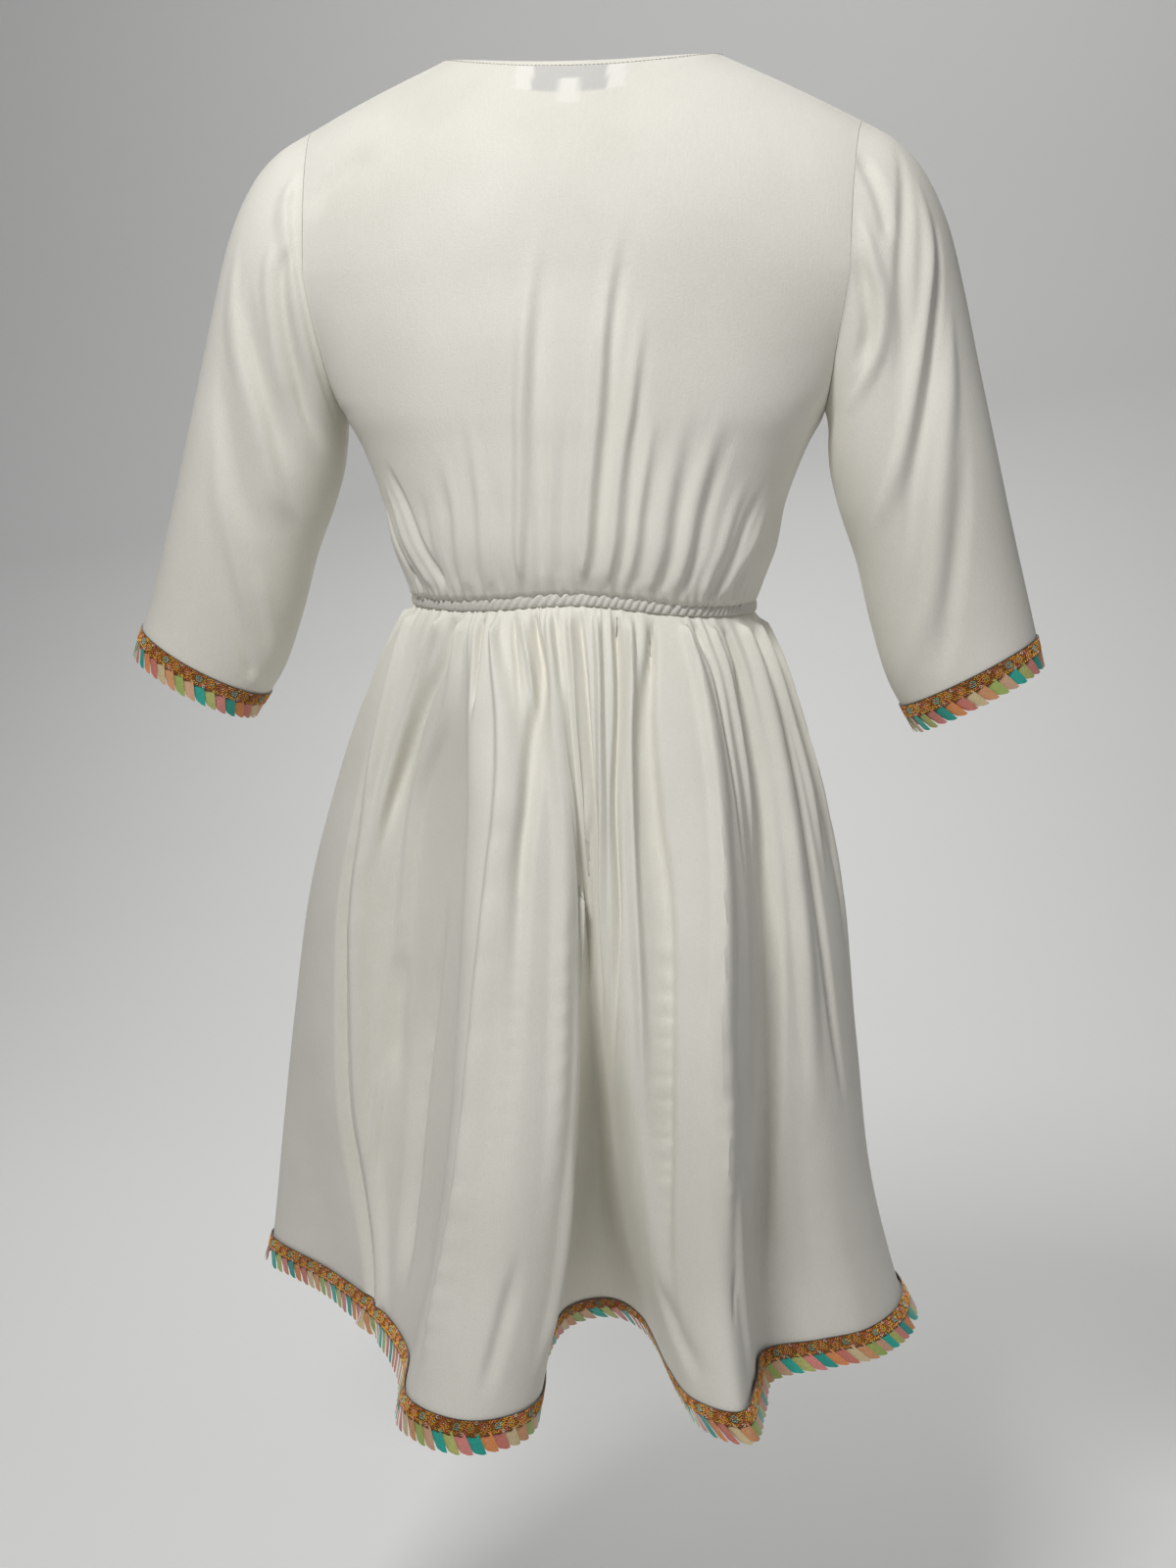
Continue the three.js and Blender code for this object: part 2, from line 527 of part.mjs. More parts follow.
// A ribbon pleated into overlapping tabs. pointAt(u, down) gives the edge that it hangs from.
function ruffle(tabs, pointAt, closed) {
  const columns = [];
  for (let tab = 0; tab < tabs; tab++) {
    columns.push({ u: (tab + RUFFLE.step) / tabs, out: 0, tooth: 0 });
    columns.push({ u: (tab + 1 - RUFFLE.step) / tabs, out: RUFFLE.tab, tooth: RUFFLE.tooth });
  }
  const rows = (extra) => {
    const grid = [RUFFLE.drop, 0].map((down) =>
      columns.map(({ u, tooth }) => {
        const lean = (RUFFLE.lean * down) / RUFFLE.drop / tabs;
        const free = down > 0 ? tooth : 0;
        return pointAt(closed ? (u + lean) % 1 : u, RUFFLE.below + down + free);
      }),
    );
    const base = normalsOf(grid, closed);
    return grid.map((row, r) =>
      row.map((p, c) => p.addScaledVector(base[r][c], columns[c].out * (r === 0 ? 1 : 0.5) + extra)),
    );
  };
  return [rows(RUFFLE.thick / 2), rows(-RUFFLE.thick / 2)];
}

// A point that carries on past the end of a cloth's edge, in the way the cloth was going.
function onwards(pointAt, end, back, distance) {
  const edge = pointAt(end);
  const way = edge.clone().sub(pointAt(end + back)).normalize();
  return edge.addScaledVector(way, distance);
}

function hemRuffle(from, to, tabs) {
  const places = hemPlaces(from, to, 20 * tabs, 1, 0);
  return ruffle(
    tabs,
    (u, down) => onwards((level) => skirtPoint(places[Math.round(u * 20 * tabs)], level), HEM_LEVEL, 10, down),
    false,
  );
}

function cuffRuffle(swing) {
  return ruffle(
    CUFF_TABS,
    (u, down) => onwards((ring) => sleevePoint(sleeveAngle(u), ring, swing), cuffRing, -0.3, down),
    true,
  );
}

// ---- Colours and assembly -------------------------------------------------------------------------

const material = (color, roughness, metalness = 0) =>
  new THREE.MeshStandardMaterial({ color, roughness, metalness, side: THREE.DoubleSide });
const crepe = material("#e6e3d9", 0.62);
const elastic = material("#cfcdc6", 0.7);
const lace = material("#c98a3c", 0.55, 0.2);
const ribbon = material("#dba07a", 0.5);
const wovenLabel = material("#8d8f93", 0.6);
const whiteTape = material("#efeee9", 0.6);

const kurti = new THREE.Group();
function add(name, geometry, look) {
  const mesh = new THREE.Mesh(geometry, look);
  mesh.name = name;
  kurti.add(mesh);
}

const backGrid = bodiceGrid(1);
const frontGrid = bodiceGrid(-1);
add("bodice_back", bodicePanel(backGrid, 1), crepe);
add("bodice_front", bodicePanel(frontGrid, -1), crepe);
add("neck_label", neckPatch(LABEL), wovenLabel);
add("size_tab", neckPatch(SIZE_TAB), whiteTape);

for (const [name, swing, turned] of [
  ["left", LEFT_SWING, (grid) => grid],
  ["right", 0, mirrored],
]) {
  const outside = sleeveGrid(swing);
  const [ruffleOutside, ruffleInside] = cuffRuffle(swing);
  add(`sleeve_${name}`, wallBetween(turned(outside), turned(sleeveInside(outside)), true), crepe);
  add(`cuff_lace_${name}`, laceOn(turned(outside), true), lace);
  add(`cuff_ruffle_${name}`, wallBetween(turned(ruffleOutside), turned(ruffleInside), true), ribbon);
}

add("waist_casing", casingGeometry(), elastic);

for (const [name, from, to] of [
  ["back", LEFT_SEAM, RIGHT_SEAM],
  ["front", RIGHT_SEAM, LEFT_SEAM + 1],
]) {
  const grid = skirtGrid(from, to);
  add(`skirt_${name}`, wallBetween(withoutEnds(grid), withoutEnds(moved(grid, -CLOTH, false)), false), crepe);
  add(`hem_lace_${name}`, laceOn(grid, false), lace);
  add(`hem_ruffle_${name}`, wallBetween(...hemRuffle(from, to, HEM_TABS / 2), false), ribbon);
}

export default kurti;
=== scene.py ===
"""A short kurti in its worn form: gathered bodice, shirred elastic waist, flared skirt and
three-quarter sleeves in off-white crepe, trimmed with embroidered lace over a pleated ribbon ruffle.

Sizes are in millimetres and become metres where a mesh is made. +Z is up, the back faces +Y and the
wearer's left is +X. The origin is midway between the shoulder seams' neck ends.
Panels and sleeves are grids of points: columns run from the wearer's left, over the back, to the right
and round the front, and rows run from the bottom to the top.
"""

import math

import bpy
import numpy as np
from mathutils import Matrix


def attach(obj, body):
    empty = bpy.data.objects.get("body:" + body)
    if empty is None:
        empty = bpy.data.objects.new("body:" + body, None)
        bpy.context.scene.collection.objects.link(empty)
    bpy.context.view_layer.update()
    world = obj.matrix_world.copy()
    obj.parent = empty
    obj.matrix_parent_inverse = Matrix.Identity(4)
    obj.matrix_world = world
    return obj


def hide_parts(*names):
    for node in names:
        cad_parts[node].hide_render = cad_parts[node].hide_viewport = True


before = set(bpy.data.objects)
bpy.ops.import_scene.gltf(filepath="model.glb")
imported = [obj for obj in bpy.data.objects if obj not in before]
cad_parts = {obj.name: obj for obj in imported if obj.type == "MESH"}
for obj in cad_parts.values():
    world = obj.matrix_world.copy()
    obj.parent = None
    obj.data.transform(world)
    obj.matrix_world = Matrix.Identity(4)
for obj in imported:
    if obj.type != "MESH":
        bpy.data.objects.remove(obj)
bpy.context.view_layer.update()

MM = 0.001
PI = math.pi
rng = np.random.default_rng(23)


# ---- Small helpers -----------------------------------------------------------------------------


def table(columns, rows):
    """Rows of numbers as named columns."""
    values = np.array(rows, float)
    return {name: values[:, i] for i, name in enumerate(columns.split())}


def rows_of(columns):
    """A table's rows, one dictionary each."""
    count = len(next(iter(columns.values())))
    return [{name: values[i] for name, values in columns.items()} for i in range(count)]


def along(columns, key, at):
    """A table's columns at places along it, on a smooth curve through its rows."""
    if columns[key][0] > columns[key][-1]:
        columns = {name: values[::-1] for name, values in columns.items()}
    keys = columns[key]
    last = len(keys) - 1
    b = np.clip(np.searchsorted(keys, at), 1, last)
    a = b - 1
    before, after = np.maximum(a - 1, 0), np.minimum(b + 1, last)
    step = keys[b] - keys[a]
    t = np.clip((at - keys[a]) / step, 0, 1)
    found = {}
    for name, v in columns.items():
        slope_a = (v[b] - v[before]) / (keys[b] - keys[before]) * step
        slope_b = (v[after] - v[a]) / (keys[after] - keys[a]) * step
        rise = v[b] - v[a]
        curve = t * t * (3 * rise - 2 * slope_a - slope_b) + t**3 * (slope_a + slope_b - 2 * rise)
        found[name] = v[a] + t * slope_a + curve
    return found


def loop(points, at):
    """A closed Catmull-Rom curve through points, at places from 0 to 1 round it."""
    exact = (np.asarray(at) % 1.0) * len(points)
    i = np.floor(exact).astype(int)
    t = (exact - i)[..., None]
    p0, p1, p2, p3 = (points[(i + k) % len(points)] for k in (-1, 0, 1, 2))
    m1, m2 = (p2 - p0) / 2, (p3 - p1) / 2
    return p1 + m1 * t + (3 * (p2 - p1) - 2 * m1 - m2) * t**2 + (2 * (p1 - p2) + m1 + m2) * t**3


def mix(a, b, t):
    return a + (b - a) * t


def ease(x, low, high):
    """0 below low, 1 above high, and a smooth step between."""
    t = np.clip((x - low) / (high - low), 0, 1)
    return t * t * (3 - 2 * t)


def crest(distance, half_width):
    """A soft fold's profile: 1 at its middle, 0 from its half width outwards."""
    t = np.clip(np.abs(distance) / half_width, 0, 1)
    return (1 + np.cos(t * PI)) / 2


def stack(x, y, z):
    return np.stack(np.broadcast_arrays(x, y, z), -1).astype(float)


def unit(vectors):
    return vectors / np.maximum(np.linalg.norm(vectors, axis=-1, keepdims=True), 1e-9)


def distance_along(points):
    """How far along a line of points each one is."""
    return np.concatenate([[0], np.cumsum(np.linalg.norm(np.diff(points, axis=0), axis=-1))])


def normals(grid, closed=False):
    """The outward normal at each point of a grid."""
    if closed:
        across = np.roll(grid, -1, 1) - np.roll(grid, 1, 1)
    else:
        across = np.gradient(grid, axis=1)
    return unit(np.cross(across, np.gradient(grid, axis=0)))


# ---- The garment's form, from the same sizes as its solids ----------------------------------------

NECK_WIDTH = 194
SHOULDER_WIDTH = 384
SHOULDER_DROP = 44
BLADE_LEVEL = -145
YOKE_CLIMB = 160  # what the way from the shoulder blades up to the top edge counts as in a climb
YOKE_START = -290  # from here up the panels turn towards the shoulders
ARMHOLE_BOTTOM = -238
WAIST_LEVEL = -370
WAIST = {"half": 122, "back": 80, "front": 93}
RISE_TOP, RISE_BOTTOM = -300, -520  # the levels where the waistline's rise is gone
HEM_LEVEL = -888
CASING_HEIGHT = 9.4
CASING_EDGE = CASING_HEIGHT / 2
SEAM_GAP = 0.35
CREPE_THICK = 0.7  # thinner than the solids' wall of 1.2

NECK_SHARE = 0.35
NECK_SLOPE = math.radians(52)
NECK = {1: {"drop": 10, "reach": 58}, -1: {"drop": 104, "reach": 74}}  # 1 is the back, -1 the front
ARMHOLE = {1: 58, -1: 54}

BODICE = table(
    "z half back front",
    [
        (-370, 122, 80, 93),
        (-352, 129, 88, 101),
        (-330, 138, 93, 109),
        (-300, 144, 95, 117),
        (-262, 158, 96, 124),
        (-238, 170, 97, 125),
        (-195, 178, 98, 118),
        (-145, 186, 97, 103),
    ],
)

SLEEVE = table(
    "ring outer_x outer_z inner_x inner_z depth forward",
    [
        (0, 192, -44, 171, -238, 56, 0),
        (1, 216, -58, 172, -244, 57, 0),
        (2, 235, -79, 173, -252, 57, 1),
        (3, 251, -112, 173, -264, 56, 3),
        (4, 263, -154, 175, -282, 55, 6),
        (5, 275, -205, 182, -308, 53, 9),
        (6, 289, -262, 194, -342, 51, 13),
        (7, 304, -323, 204, -382, 49, 18),
        (8, 317, -373, 217, -424, 47, 22),
        (9, 325, -404, 233, -454, 46, 25),
    ],
)
CUFF_RING = 9
LEFT_SWING = 16

SKIRT = table(
    "z half left back front fold bow",
    [
        (-375, 122, 0, 80, 93, 0.0, 0.0),
        (-388, 131, 1, 86, 98, 0.03, 0.08),
        (-410, 141, 2, 94, 104, 0.1, 0.25),
        (-450, 153, 4, 105, 113, 0.22, 0.5),
        (-505, 166, 5, 116, 122, 0.36, 0.78),
        (-590, 181, 7, 129, 134, 0.54, 1.0),
        (-690, 190, 8, 139, 142, 0.7, 1.0),
        (-790, 198, 8, 146, 148, 0.85, 0.7),
        (-878, 211, 2, 151, 153, 0.985, 0.08),
        (-888, 216, 0, 152, 154, 1.0, 0.0),
    ],
)
HEM_PLAN = {"half": 216, "back": 152, "front": 154}

# The hem from above, from the left side seam round the back; each point's share of the waist; and
# how far the cloth above it bows to the left and back between the waist and the hem.
HEM = table(
    "x y waist bow_x bow_y",
    [
        (253, -21, 0.0, 2, 0),  # left side seam
        (190, 36, 0.055, -3, 9),
        (137, 99, 0.108, -14, -30),
        (103, 161, 0.15, -34, -16),
        (86, 230, 0.168, -27, 0),  # back left fold
        (39, 256, 0.192, -30, 0),
        (1, 222, 0.215, -36, 0),
        (8, 137, 0.23, -38, 34),
        (2, 72, 0.242, -30, 58),
        (-28, 50, 0.256, -14, 62),  # centre hollow
        (-57, 79, 0.271, -3, 58),
        (-85, 160, 0.29, 6, 24),
        (-106, 204, 0.312, 7, 0),
        (-138, 218, 0.35, -4, 0),  # back right fold
        (-144, 172, 0.376, -12, 0),
        (-148, 126, 0.396, -11, -10),
        (-188, 103, 0.425, 0, 0),
        (-221, 80, 0.46, 0, 0),
        (-243, 33, 0.492, 0, 0),  # right side seam
        (-240, -22, 0.52, 0, 0),
        (-196, -82, 0.56, 0, 0),
        (-158, -156, 0.598, 0, 0),
        (-126, -184, 0.626, 0, 0),  # front right fold
        (-94, -158, 0.652, 0, 0),
        (-64, -88, 0.69, 0, 0),
        (-34, -166, 0.727, 0, 0),
        (4, -194, 0.755, 0, 0),  # front fold
        (42, -166, 0.783, 0, 0),
        (70, -90, 0.82, 0, 0),
        (98, -156, 0.856, 0, 0),
        (132, -182, 0.884, 0, 0),  # front left fold
        (166, -152, 0.91, 0, 0),
        (204, -92, 0.946, 0, 0),
        (243, -58, 0.977, 0, 0),
    ],
)
RIGHT_SEAM = 18 / 34


def waist_rise(share):
    """The waistline rises at the centre back and sinks a little to the wearer's right."""
    rise, centre, width, sink = 8, 0.26, 0.075, 1.75
    return rise * np.exp(-(((share - centre) / width) ** 2)) - sink * (1 - np.cos(2 * PI * share))


def lower_bodice(side, across, level):
    """A panel up to the shoulder blades. across runs from 1 at the wearer's left to -1."""
    s = along(BODICE, "z", level)
    reach = s["back"] if side > 0 else s["front"]
    armhole = ARMHOLE[side]
    down = np.clip((level - BLADE_LEVEL) / (ARMHOLE_BOTTOM - BLADE_LEVEL), 0, 1)
    edge = armhole * np.sqrt(1 - down**2)
    angle = across * PI / 2
    cosine = np.maximum(0, np.cos(angle))
    yoke = ease(level, YOKE_START, BLADE_LEVEL)
    full, peaked = cosine**0.9, cosine**1.9
    arch = mix(reach * full, armhole + (reach - armhole) * peaked, yoke)
    to_edge = (edge - yoke * armhole) * np.abs(across) ** 8
    share = 0.25 - across / 4 if side > 0 else 0.75 + across / 4
    above = ease(level, WAIST_LEVEL + CASING_EDGE, RISE_TOP)
    y = side * (SEAM_GAP / 2 + arch + to_edge)
    return stack(s["half"] * np.sin(angle), y, level + waist_rise(share) * (1 - above))


def top_edge(side, across):
    """The shoulder seams with the neckline between them."""
    seam = side * SEAM_GAP / 2
    angle = np.clip(across / NECK_SHARE, -1, 1) * PI / 2
    beyond = np.clip((np.abs(across) - NECK_SHARE) / (1 - NECK_SHARE), 0, 1)
    shoulder = np.sign(across) * (SHOULDER_WIDTH - NECK_WIDTH) / 2 * beyond
    x = NECK_WIDTH / 2 * np.sin(angle) + shoulder
    y = seam + side * NECK[side]["reach"] * np.cos(angle)
    z = -NECK[side]["drop"] * np.cos(angle) ** 2 - SHOULDER_DROP * beyond
    return stack(x, y, z)


def upper_bodice(side, across, share):
    """A panel from the shoulder blades (0) to its top edge (1)."""
    low = lower_bodice(side, across, np.full_like(across, BLADE_LEVEL, dtype=float))
    top = top_edge(side, across)
    end = mix(NECK_SLOPE, PI / 2, ease(np.abs(across), 0, NECK_SHARE))
    back = (1 - np.cos(share * end)) / (1 - np.cos(end))
    up = np.sin(share * end) / np.sin(end)
    return stack(*(mix(low[..., i], top[..., i], (back, back, up)[i]) for i in range(3)))


def bodice_point(side, across, climb):
    """climb is how far up from the waist a point is: in millimetres to the shoulder blades, and from
    there to the top edge as a share of YOKE_CLIMB."""
    lower = lower_bodice(side, across, np.minimum(WAIST_LEVEL + climb, BLADE_LEVEL))
    blades = BLADE_LEVEL - WAIST_LEVEL
    upper = upper_bodice(side, across, np.clip((climb - blades) / YOKE_CLIMB, 0, 1))
    return np.where((climb > blades)[..., None], upper, lower)


def armhole_point(angle):
    """0 at the shoulder, a quarter turn at the back and a half turn under the arm."""
    angle = angle % (2 * PI)
    from_top = np.where(angle <= PI, angle, 2 * PI - angle)
    ends = np.ones_like(angle)
    points = {}
    for side in (1, -1):
        upper = upper_bodice(side, ends, np.clip(1 - from_top / (PI / 2), 0, 1))
        low = BLADE_LEVEL + (BLADE_LEVEL - ARMHOLE_BOTTOM) * np.cos(np.maximum(from_top, PI / 2))
        points[side] = np.where((from_top <= PI / 2)[..., None], upper, lower_bodice(side, ends, low))
    return np.where((angle <= PI)[..., None], points[1], points[-1])


def sleeve_point(angle, ring, swing):
    """The left sleeve. angle is 0 on the outer fold, a quarter turn at the back."""

    def ellipse(ring):
        s = along(SLEEVE, "ring", ring)
        out = swing * (ring / CUFF_RING) ** 2
        outer = stack(s["outer_x"] + out, -s["forward"], s["outer_z"])
        inner = stack(s["inner_x"] + out, -s["forward"], s["inner_z"])
        middle = (outer + inner) / 2
        depth = stack(0, s["depth"] * np.sin(angle), 0)
        return middle + (outer - middle) * np.cos(angle)[..., None] + depth

    to_armhole = armhole_point(angle) + [SEAM_GAP, 0, 0] - ellipse(np.zeros_like(ring))
    return ellipse(ring) + to_armhole * (np.clip(1 - ring, 0, 1) ** 2)[..., None]


def waist_plan(share, half, back, front):
    """A smooth ring from above, at shares of a turn from the left round the back."""
    angle = 2 * PI * share
    reach = np.where(np.sin(angle) > 0, back, front)
    return np.stack([half * np.cos(angle), reach * np.sin(angle)], -1)


hem_xy = np.stack([HEM["x"], HEM["y"]], -1)
bow_xy = np.stack([HEM["bow_x"], HEM["bow_y"]], -1)
waist_xy = waist_plan(HEM["waist"], 1, 1, 1)


def skirt_point(place, level):
    """place is from 0 to 1 round the hem's points."""
    s = along(SKIRT, "z", level)
    way = unit(loop(waist_xy, place))
    share = (np.arctan2(way[..., 1], way[..., 0]) / (2 * PI)) % 1
    folds = (loop(hem_xy, place) - waist_plan(share, **HEM_PLAN)) * s["fold"][..., None]
    bow = loop(bow_xy, place) * s["bow"][..., None]
    plan = waist_plan(share, s["half"], s["back"], s["front"]) + folds + bow
    near_waist = ease(level, RISE_BOTTOM, WAIST_LEVEL - CASING_EDGE)
    return stack(plan[..., 0] + s["left"], plan[..., 1], level + waist_rise(share) * near_waist)


def hem_places(start, end, count):
    """Even steps of the hem's length between two places round it."""
    fine = np.linspace(0, 1, 4001)
    length = distance_along(loop(hem_xy, fine))
    ends = [np.interp(p % 1, fine, length) + math.floor(p) * length[-1] for p in (start, end)]
    return np.interp(np.linspace(*ends, count) % length[-1], length, fine)


# ---- Folds ------------------------------------------------------------------------------------------


NARROW = 4.8  # the most that a crease's half width is at its seam
PAST_ENDS = 12  # how far beyond its ends a crease dies away


def crease_height(creases, grid, surface, deep=1.0, seam=0):
    """The height that creases add at each point of a cloth. A crease is its height, its half widths
    on the left and right seen from outside, the shares of its length over which it starts and ends,
    and its path down the cloth in the surface's own places. deep multiplies every height. A crease
    is narrow where it leaves a seam, at its start (0) or its end (1)."""
    out = normals(grid)
    height = np.zeros(grid.shape[:2])
    steps = np.linspace(0, 1, 90)
    for rise, left, right, start, end, path in creases:
        path = np.array(path, float)
        ends = {"t": np.linspace(0, 1, len(path)), "place": path[:, 0], "climb": path[:, 1]}
        way = along(ends, "t", steps)
        line = surface(way["place"], way["climb"])
        reach = max(left, right)
        near = np.all((grid > line.min(0) - reach) & (grid < line.max(0) + reach), -1)
        gap = grid[near][:, None] - line
        closest = np.linalg.norm(gap, axis=-1).argmin(1)
        heading = unit(np.gradient(line, axis=0))[closest]
        gap = gap[np.arange(len(closest)), closest]
        aside = (gap * unit(np.cross(heading, out[near]))).sum(-1)
        beyond = np.abs((gap * heading).sum(-1))
        t = steps[closest]
        wide = np.where(aside > 0, left, right)
        wide = mix(np.minimum(wide, NARROW), wide, ease(np.abs(t - seam), 0, 0.3))
        fade = ease(t, 0, start) * ease(1 - t, 0, end) * crest(beyond, PAST_ENDS)
        height[near] += deep * rise * fade * crest(aside, wide)
    return height


def gathers(count, start, end, height, wide, length, lean):
    """Uneven gathers along a seam from start to end. height, wide and length are (low, high), and
    lean is how far aside a gather's far end may be, in the same shares as start and end."""
    spacing = (end - start) / count
    place = start + spacing * (np.arange(count) + 0.5 + rng.uniform(-0.28, 0.28, count))
    strength = rng.uniform(0, 1, count) ** 1.3
    return {
        "place": place,
        "height": mix(*height, rng.uniform(0.2, 1, count)),
        "wide": mix(*wide, rng.uniform(0, 1, count)),
        "length": mix(*length, strength),
        "lean": rng.uniform(-lean, lean, count),
    }


def gather_height(rows, place, distance, width):
    """The height that gathers add at a distance from their seam. Each widens and sinks as it goes."""
    height = np.zeros(np.broadcast(place, distance).shape)
    for g in rows_of(rows):
        t = np.clip(distance / g["length"], 0, 1)
        wide = g["wide"] * (1 + 1.4 * t)
        bump = crest((place - g["place"] - g["lean"] * t) * width, wide)
        height += g["height"] * (1 - t) ** 1.3 * bump
    return height


# ---- Meshes -----------------------------------------------------------------------------------------


def add_object(name, data):
    obj = bpy.data.objects.new(name, data)
    bpy.context.scene.collection.objects.link(obj)
    return obj


def new_object(name, points, faces, uv=None, colours=None):
    """A mesh object from points in millimetres. uv and colours are one for each point."""
    mesh = bpy.data.meshes.new(name)
    faces = faces.tolist() if isinstance(faces, np.ndarray) else faces
    mesh.from_pydata((np.asarray(points) * MM).tolist(), [], faces)
    corners = np.empty(len(mesh.loops), np.int32)
    mesh.loops.foreach_get("vertex_index", corners)
    if uv is not None:
        layer = mesh.uv_layers.new(name="cut")
        layer.data.foreach_set("uv", np.asarray(uv, np.float32)[corners].ravel())
    if colours is not None:
        layer = mesh.color_attributes.new("thread", "FLOAT_COLOR", "POINT")
        opaque = np.concatenate([colours, np.ones((len(colours), 1))], -1)
        layer.data.foreach_set("color", opaque.astype(np.float32).ravel())
    return add_object(name, mesh)


def grid_faces(rows, columns):
    r, c = np.meshgrid(np.arange(rows - 1), np.arange(columns - 1), indexing="ij")
    below, above = r * columns + c, (r + 1) * columns + c
    return np.stack([below, below + 1, above + 1, above], -1).reshape(-1, 4)


def add_wall(obj, thick, offset=-1):
    """A wall inwards of the surface (-1) or with the surface in its middle (0)."""
    wall = obj.modifiers.new("Wall", "SOLIDIFY")
    wall.thickness = thick * MM
    wall.offset = offset


def add_weld(obj):
    obj.modifiers.new("Weld", "WELD").merge_threshold = 1e-6


def finish_modifiers(obj, smooth_angle=50):
    """Applies every modifier and smooths all but the sharp edges."""
    bpy.ops.object.select_all(action="DESELECT")
    bpy.context.view_layer.objects.active = obj
    obj.select_set(True)
    for modifier in list(obj.modifiers):
        bpy.ops.object.modifier_apply(modifier=modifier.name)
    bpy.ops.object.shade_smooth_by_angle(angle=math.radians(smooth_angle))
    return obj


def cloth(name, grid, closed=False, uv_width=None, behind=None):
    """A crepe piece from its outer points. uv_width is its width in the cut's own coordinates, and
    behind is what shows through it, painted into its colour as shade and light."""
    rows, columns = grid.shape[:2]
    if closed:
        # The first column is repeated, so that the cut's own coordinates don't wrap inside a face.
        grid = np.concatenate([grid, grid[:, :1]], 1)
        columns += 1
    width = distance_along(grid[rows // 2])
    if uv_width:
        width *= uv_width / width[-1]
    length = distance_along(grid.mean(1))
    uv = np.stack(np.broadcast_arrays(width[None], length[:, None]), -1).reshape(-1, 2) * MM
    obj = new_object(name, grid.reshape(-1, 3), grid_faces(rows, columns), uv)
    if behind is not None:
        layer = obj.data.color_attributes.new("behind", "FLOAT_COLOR", "POINT")
        layer.data.foreach_set("color", behind.astype(np.float32).ravel())
    if closed:
        add_weld(obj)
    add_wall(obj, CREPE_THICK)
    return finish_modifiers(obj)


# The rows that roll an edge over: how far each goes inside the cloth, and back from the edge.
TURNED_ROWS = ((0.35, 0.0), (1.4, 0.05), (4.0, 0.5))
# The rows that tuck an edge behind the casing: how far each goes inside, and towards the waist.
TUCKED_ROWS = ((1.3, 1.2), (2.6, 3.4))


def turned_in(grid, edges):
    """Seam allowances: the edges named are rolled over and turned to the inside."""
    out = normals(grid)

    def strip(edge, out, inner):
        outward = unit(edge - inner)
        return [edge - out * inside - outward * back for inside, back in TURNED_ROWS]

    if "left" in edges:
        rows = strip(grid[:, 0], out[:, 0], grid[:, 2])
        grid = np.concatenate([np.stack(rows[::-1], 1), grid], 1)
        out = np.concatenate([np.repeat(out[:, :1], len(rows), 1), out], 1)
    if "right" in edges:
        rows = strip(grid[:, -1], out[:, -1], grid[:, -3])
        grid = np.concatenate([grid, np.stack(rows, 1)], 1)
        out = np.concatenate([out, np.repeat(out[:, -1:], len(rows), 1)], 1)
    if "top" in edges:
        rows = strip(grid[-1], out[-1], grid[-3])
        grid = np.concatenate([grid, np.stack(rows, 0)], 0)
    return grid


def tucked(grid, top):
    """The edge at the waist, tucked in behind the casing."""
    out = normals(grid)
    edge, out, up = (grid[-1], out[-1], 1) if top else (grid[0], out[0], -1)
    rows = [edge - out * inside + [0, 0, far * up] for inside, far in TUCKED_ROWS]
    return np.concatenate([grid, rows] if top else [rows[::-1], grid], 0)


# ---- Materials --------------------------------------------------------------------------------------


def linear(hex_colour):
    """An sRGB hex colour as linear red, green and blue."""
    channels = [int(hex_colour[i : i + 2], 16) / 255 for i in (1, 3, 5)]
    return [c / 12.92 if c <= 0.04045 else ((c + 0.055) / 1.055) ** 2.4 for c in channels]


def rgba(hex_colour):
    return (*linear(hex_colour), 1)


def dyed(hex_colour, count):
    """The same colour for each of count points."""
    return np.tile(linear(hex_colour), (count, 1))


def add_node(tree, kind, values=None, links=None):
    """A node with its settings or socket values, and the links that go into it."""
    made = tree.nodes.new(kind)
    for name, value in (values or {}).items():
        if isinstance(name, str) and hasattr(made, name):
            setattr(made, name, value)
        else:
            made.inputs[name].default_value = value
    for name, source in (links or {}).items():
        tree.links.new(source, made.inputs[name])
    return made


def new_material(name, **principled):
    material = bpy.data.materials.new(name)
    material.use_nodes = True
    tree = material.node_tree
    shader = tree.nodes["Principled BSDF"]
    for socket, value in principled.items():
        shader.inputs[socket.replace("_", " ")].default_value = value
    return material, tree, shader


def ramp(tree, source, low, high, dark, light):
    """A colour ramp between two places of a value."""
    made = add_node(tree, "ShaderNodeValToRGB", links={"Fac": source})
    for element, position, colour in zip(made.color_ramp.elements, (low, high), (dark, light)):
        element.position = position
        element.color = rgba(colour)
    return made.outputs["Color"]


def noise(tree, vector, scale, detail, **more):
    values = {"Scale": scale, "Detail": detail, **more}
    return add_node(tree, "ShaderNodeTexNoise", values, {"Vector": vector}).outputs["Fac"]


def relief(tree, shader, height, strength, distance):
    """Bumps from a height value, in the shader's normal."""
    values = {"Strength": strength, "Distance": distance}
    made = add_node(tree, "ShaderNodeBump", values, {"Height": height})
    tree.links.new(made.outputs["Normal"], shader.inputs["Normal"])


MIX_A, MIX_B, MIX_RESULT = 6, 7, 2  # a Mix node's colour sockets
CREPE_GRAIN = 1.3  # real pebbles are about 0.5 mm; larger ones, so that the render can show them
CREPE_SLUBS = (650, 90, 1)  # uneven yarns, so many to a metre across the cut and along it
TAPE_WEAVE = 0.8  # how coarse a woven tape's threads are drawn


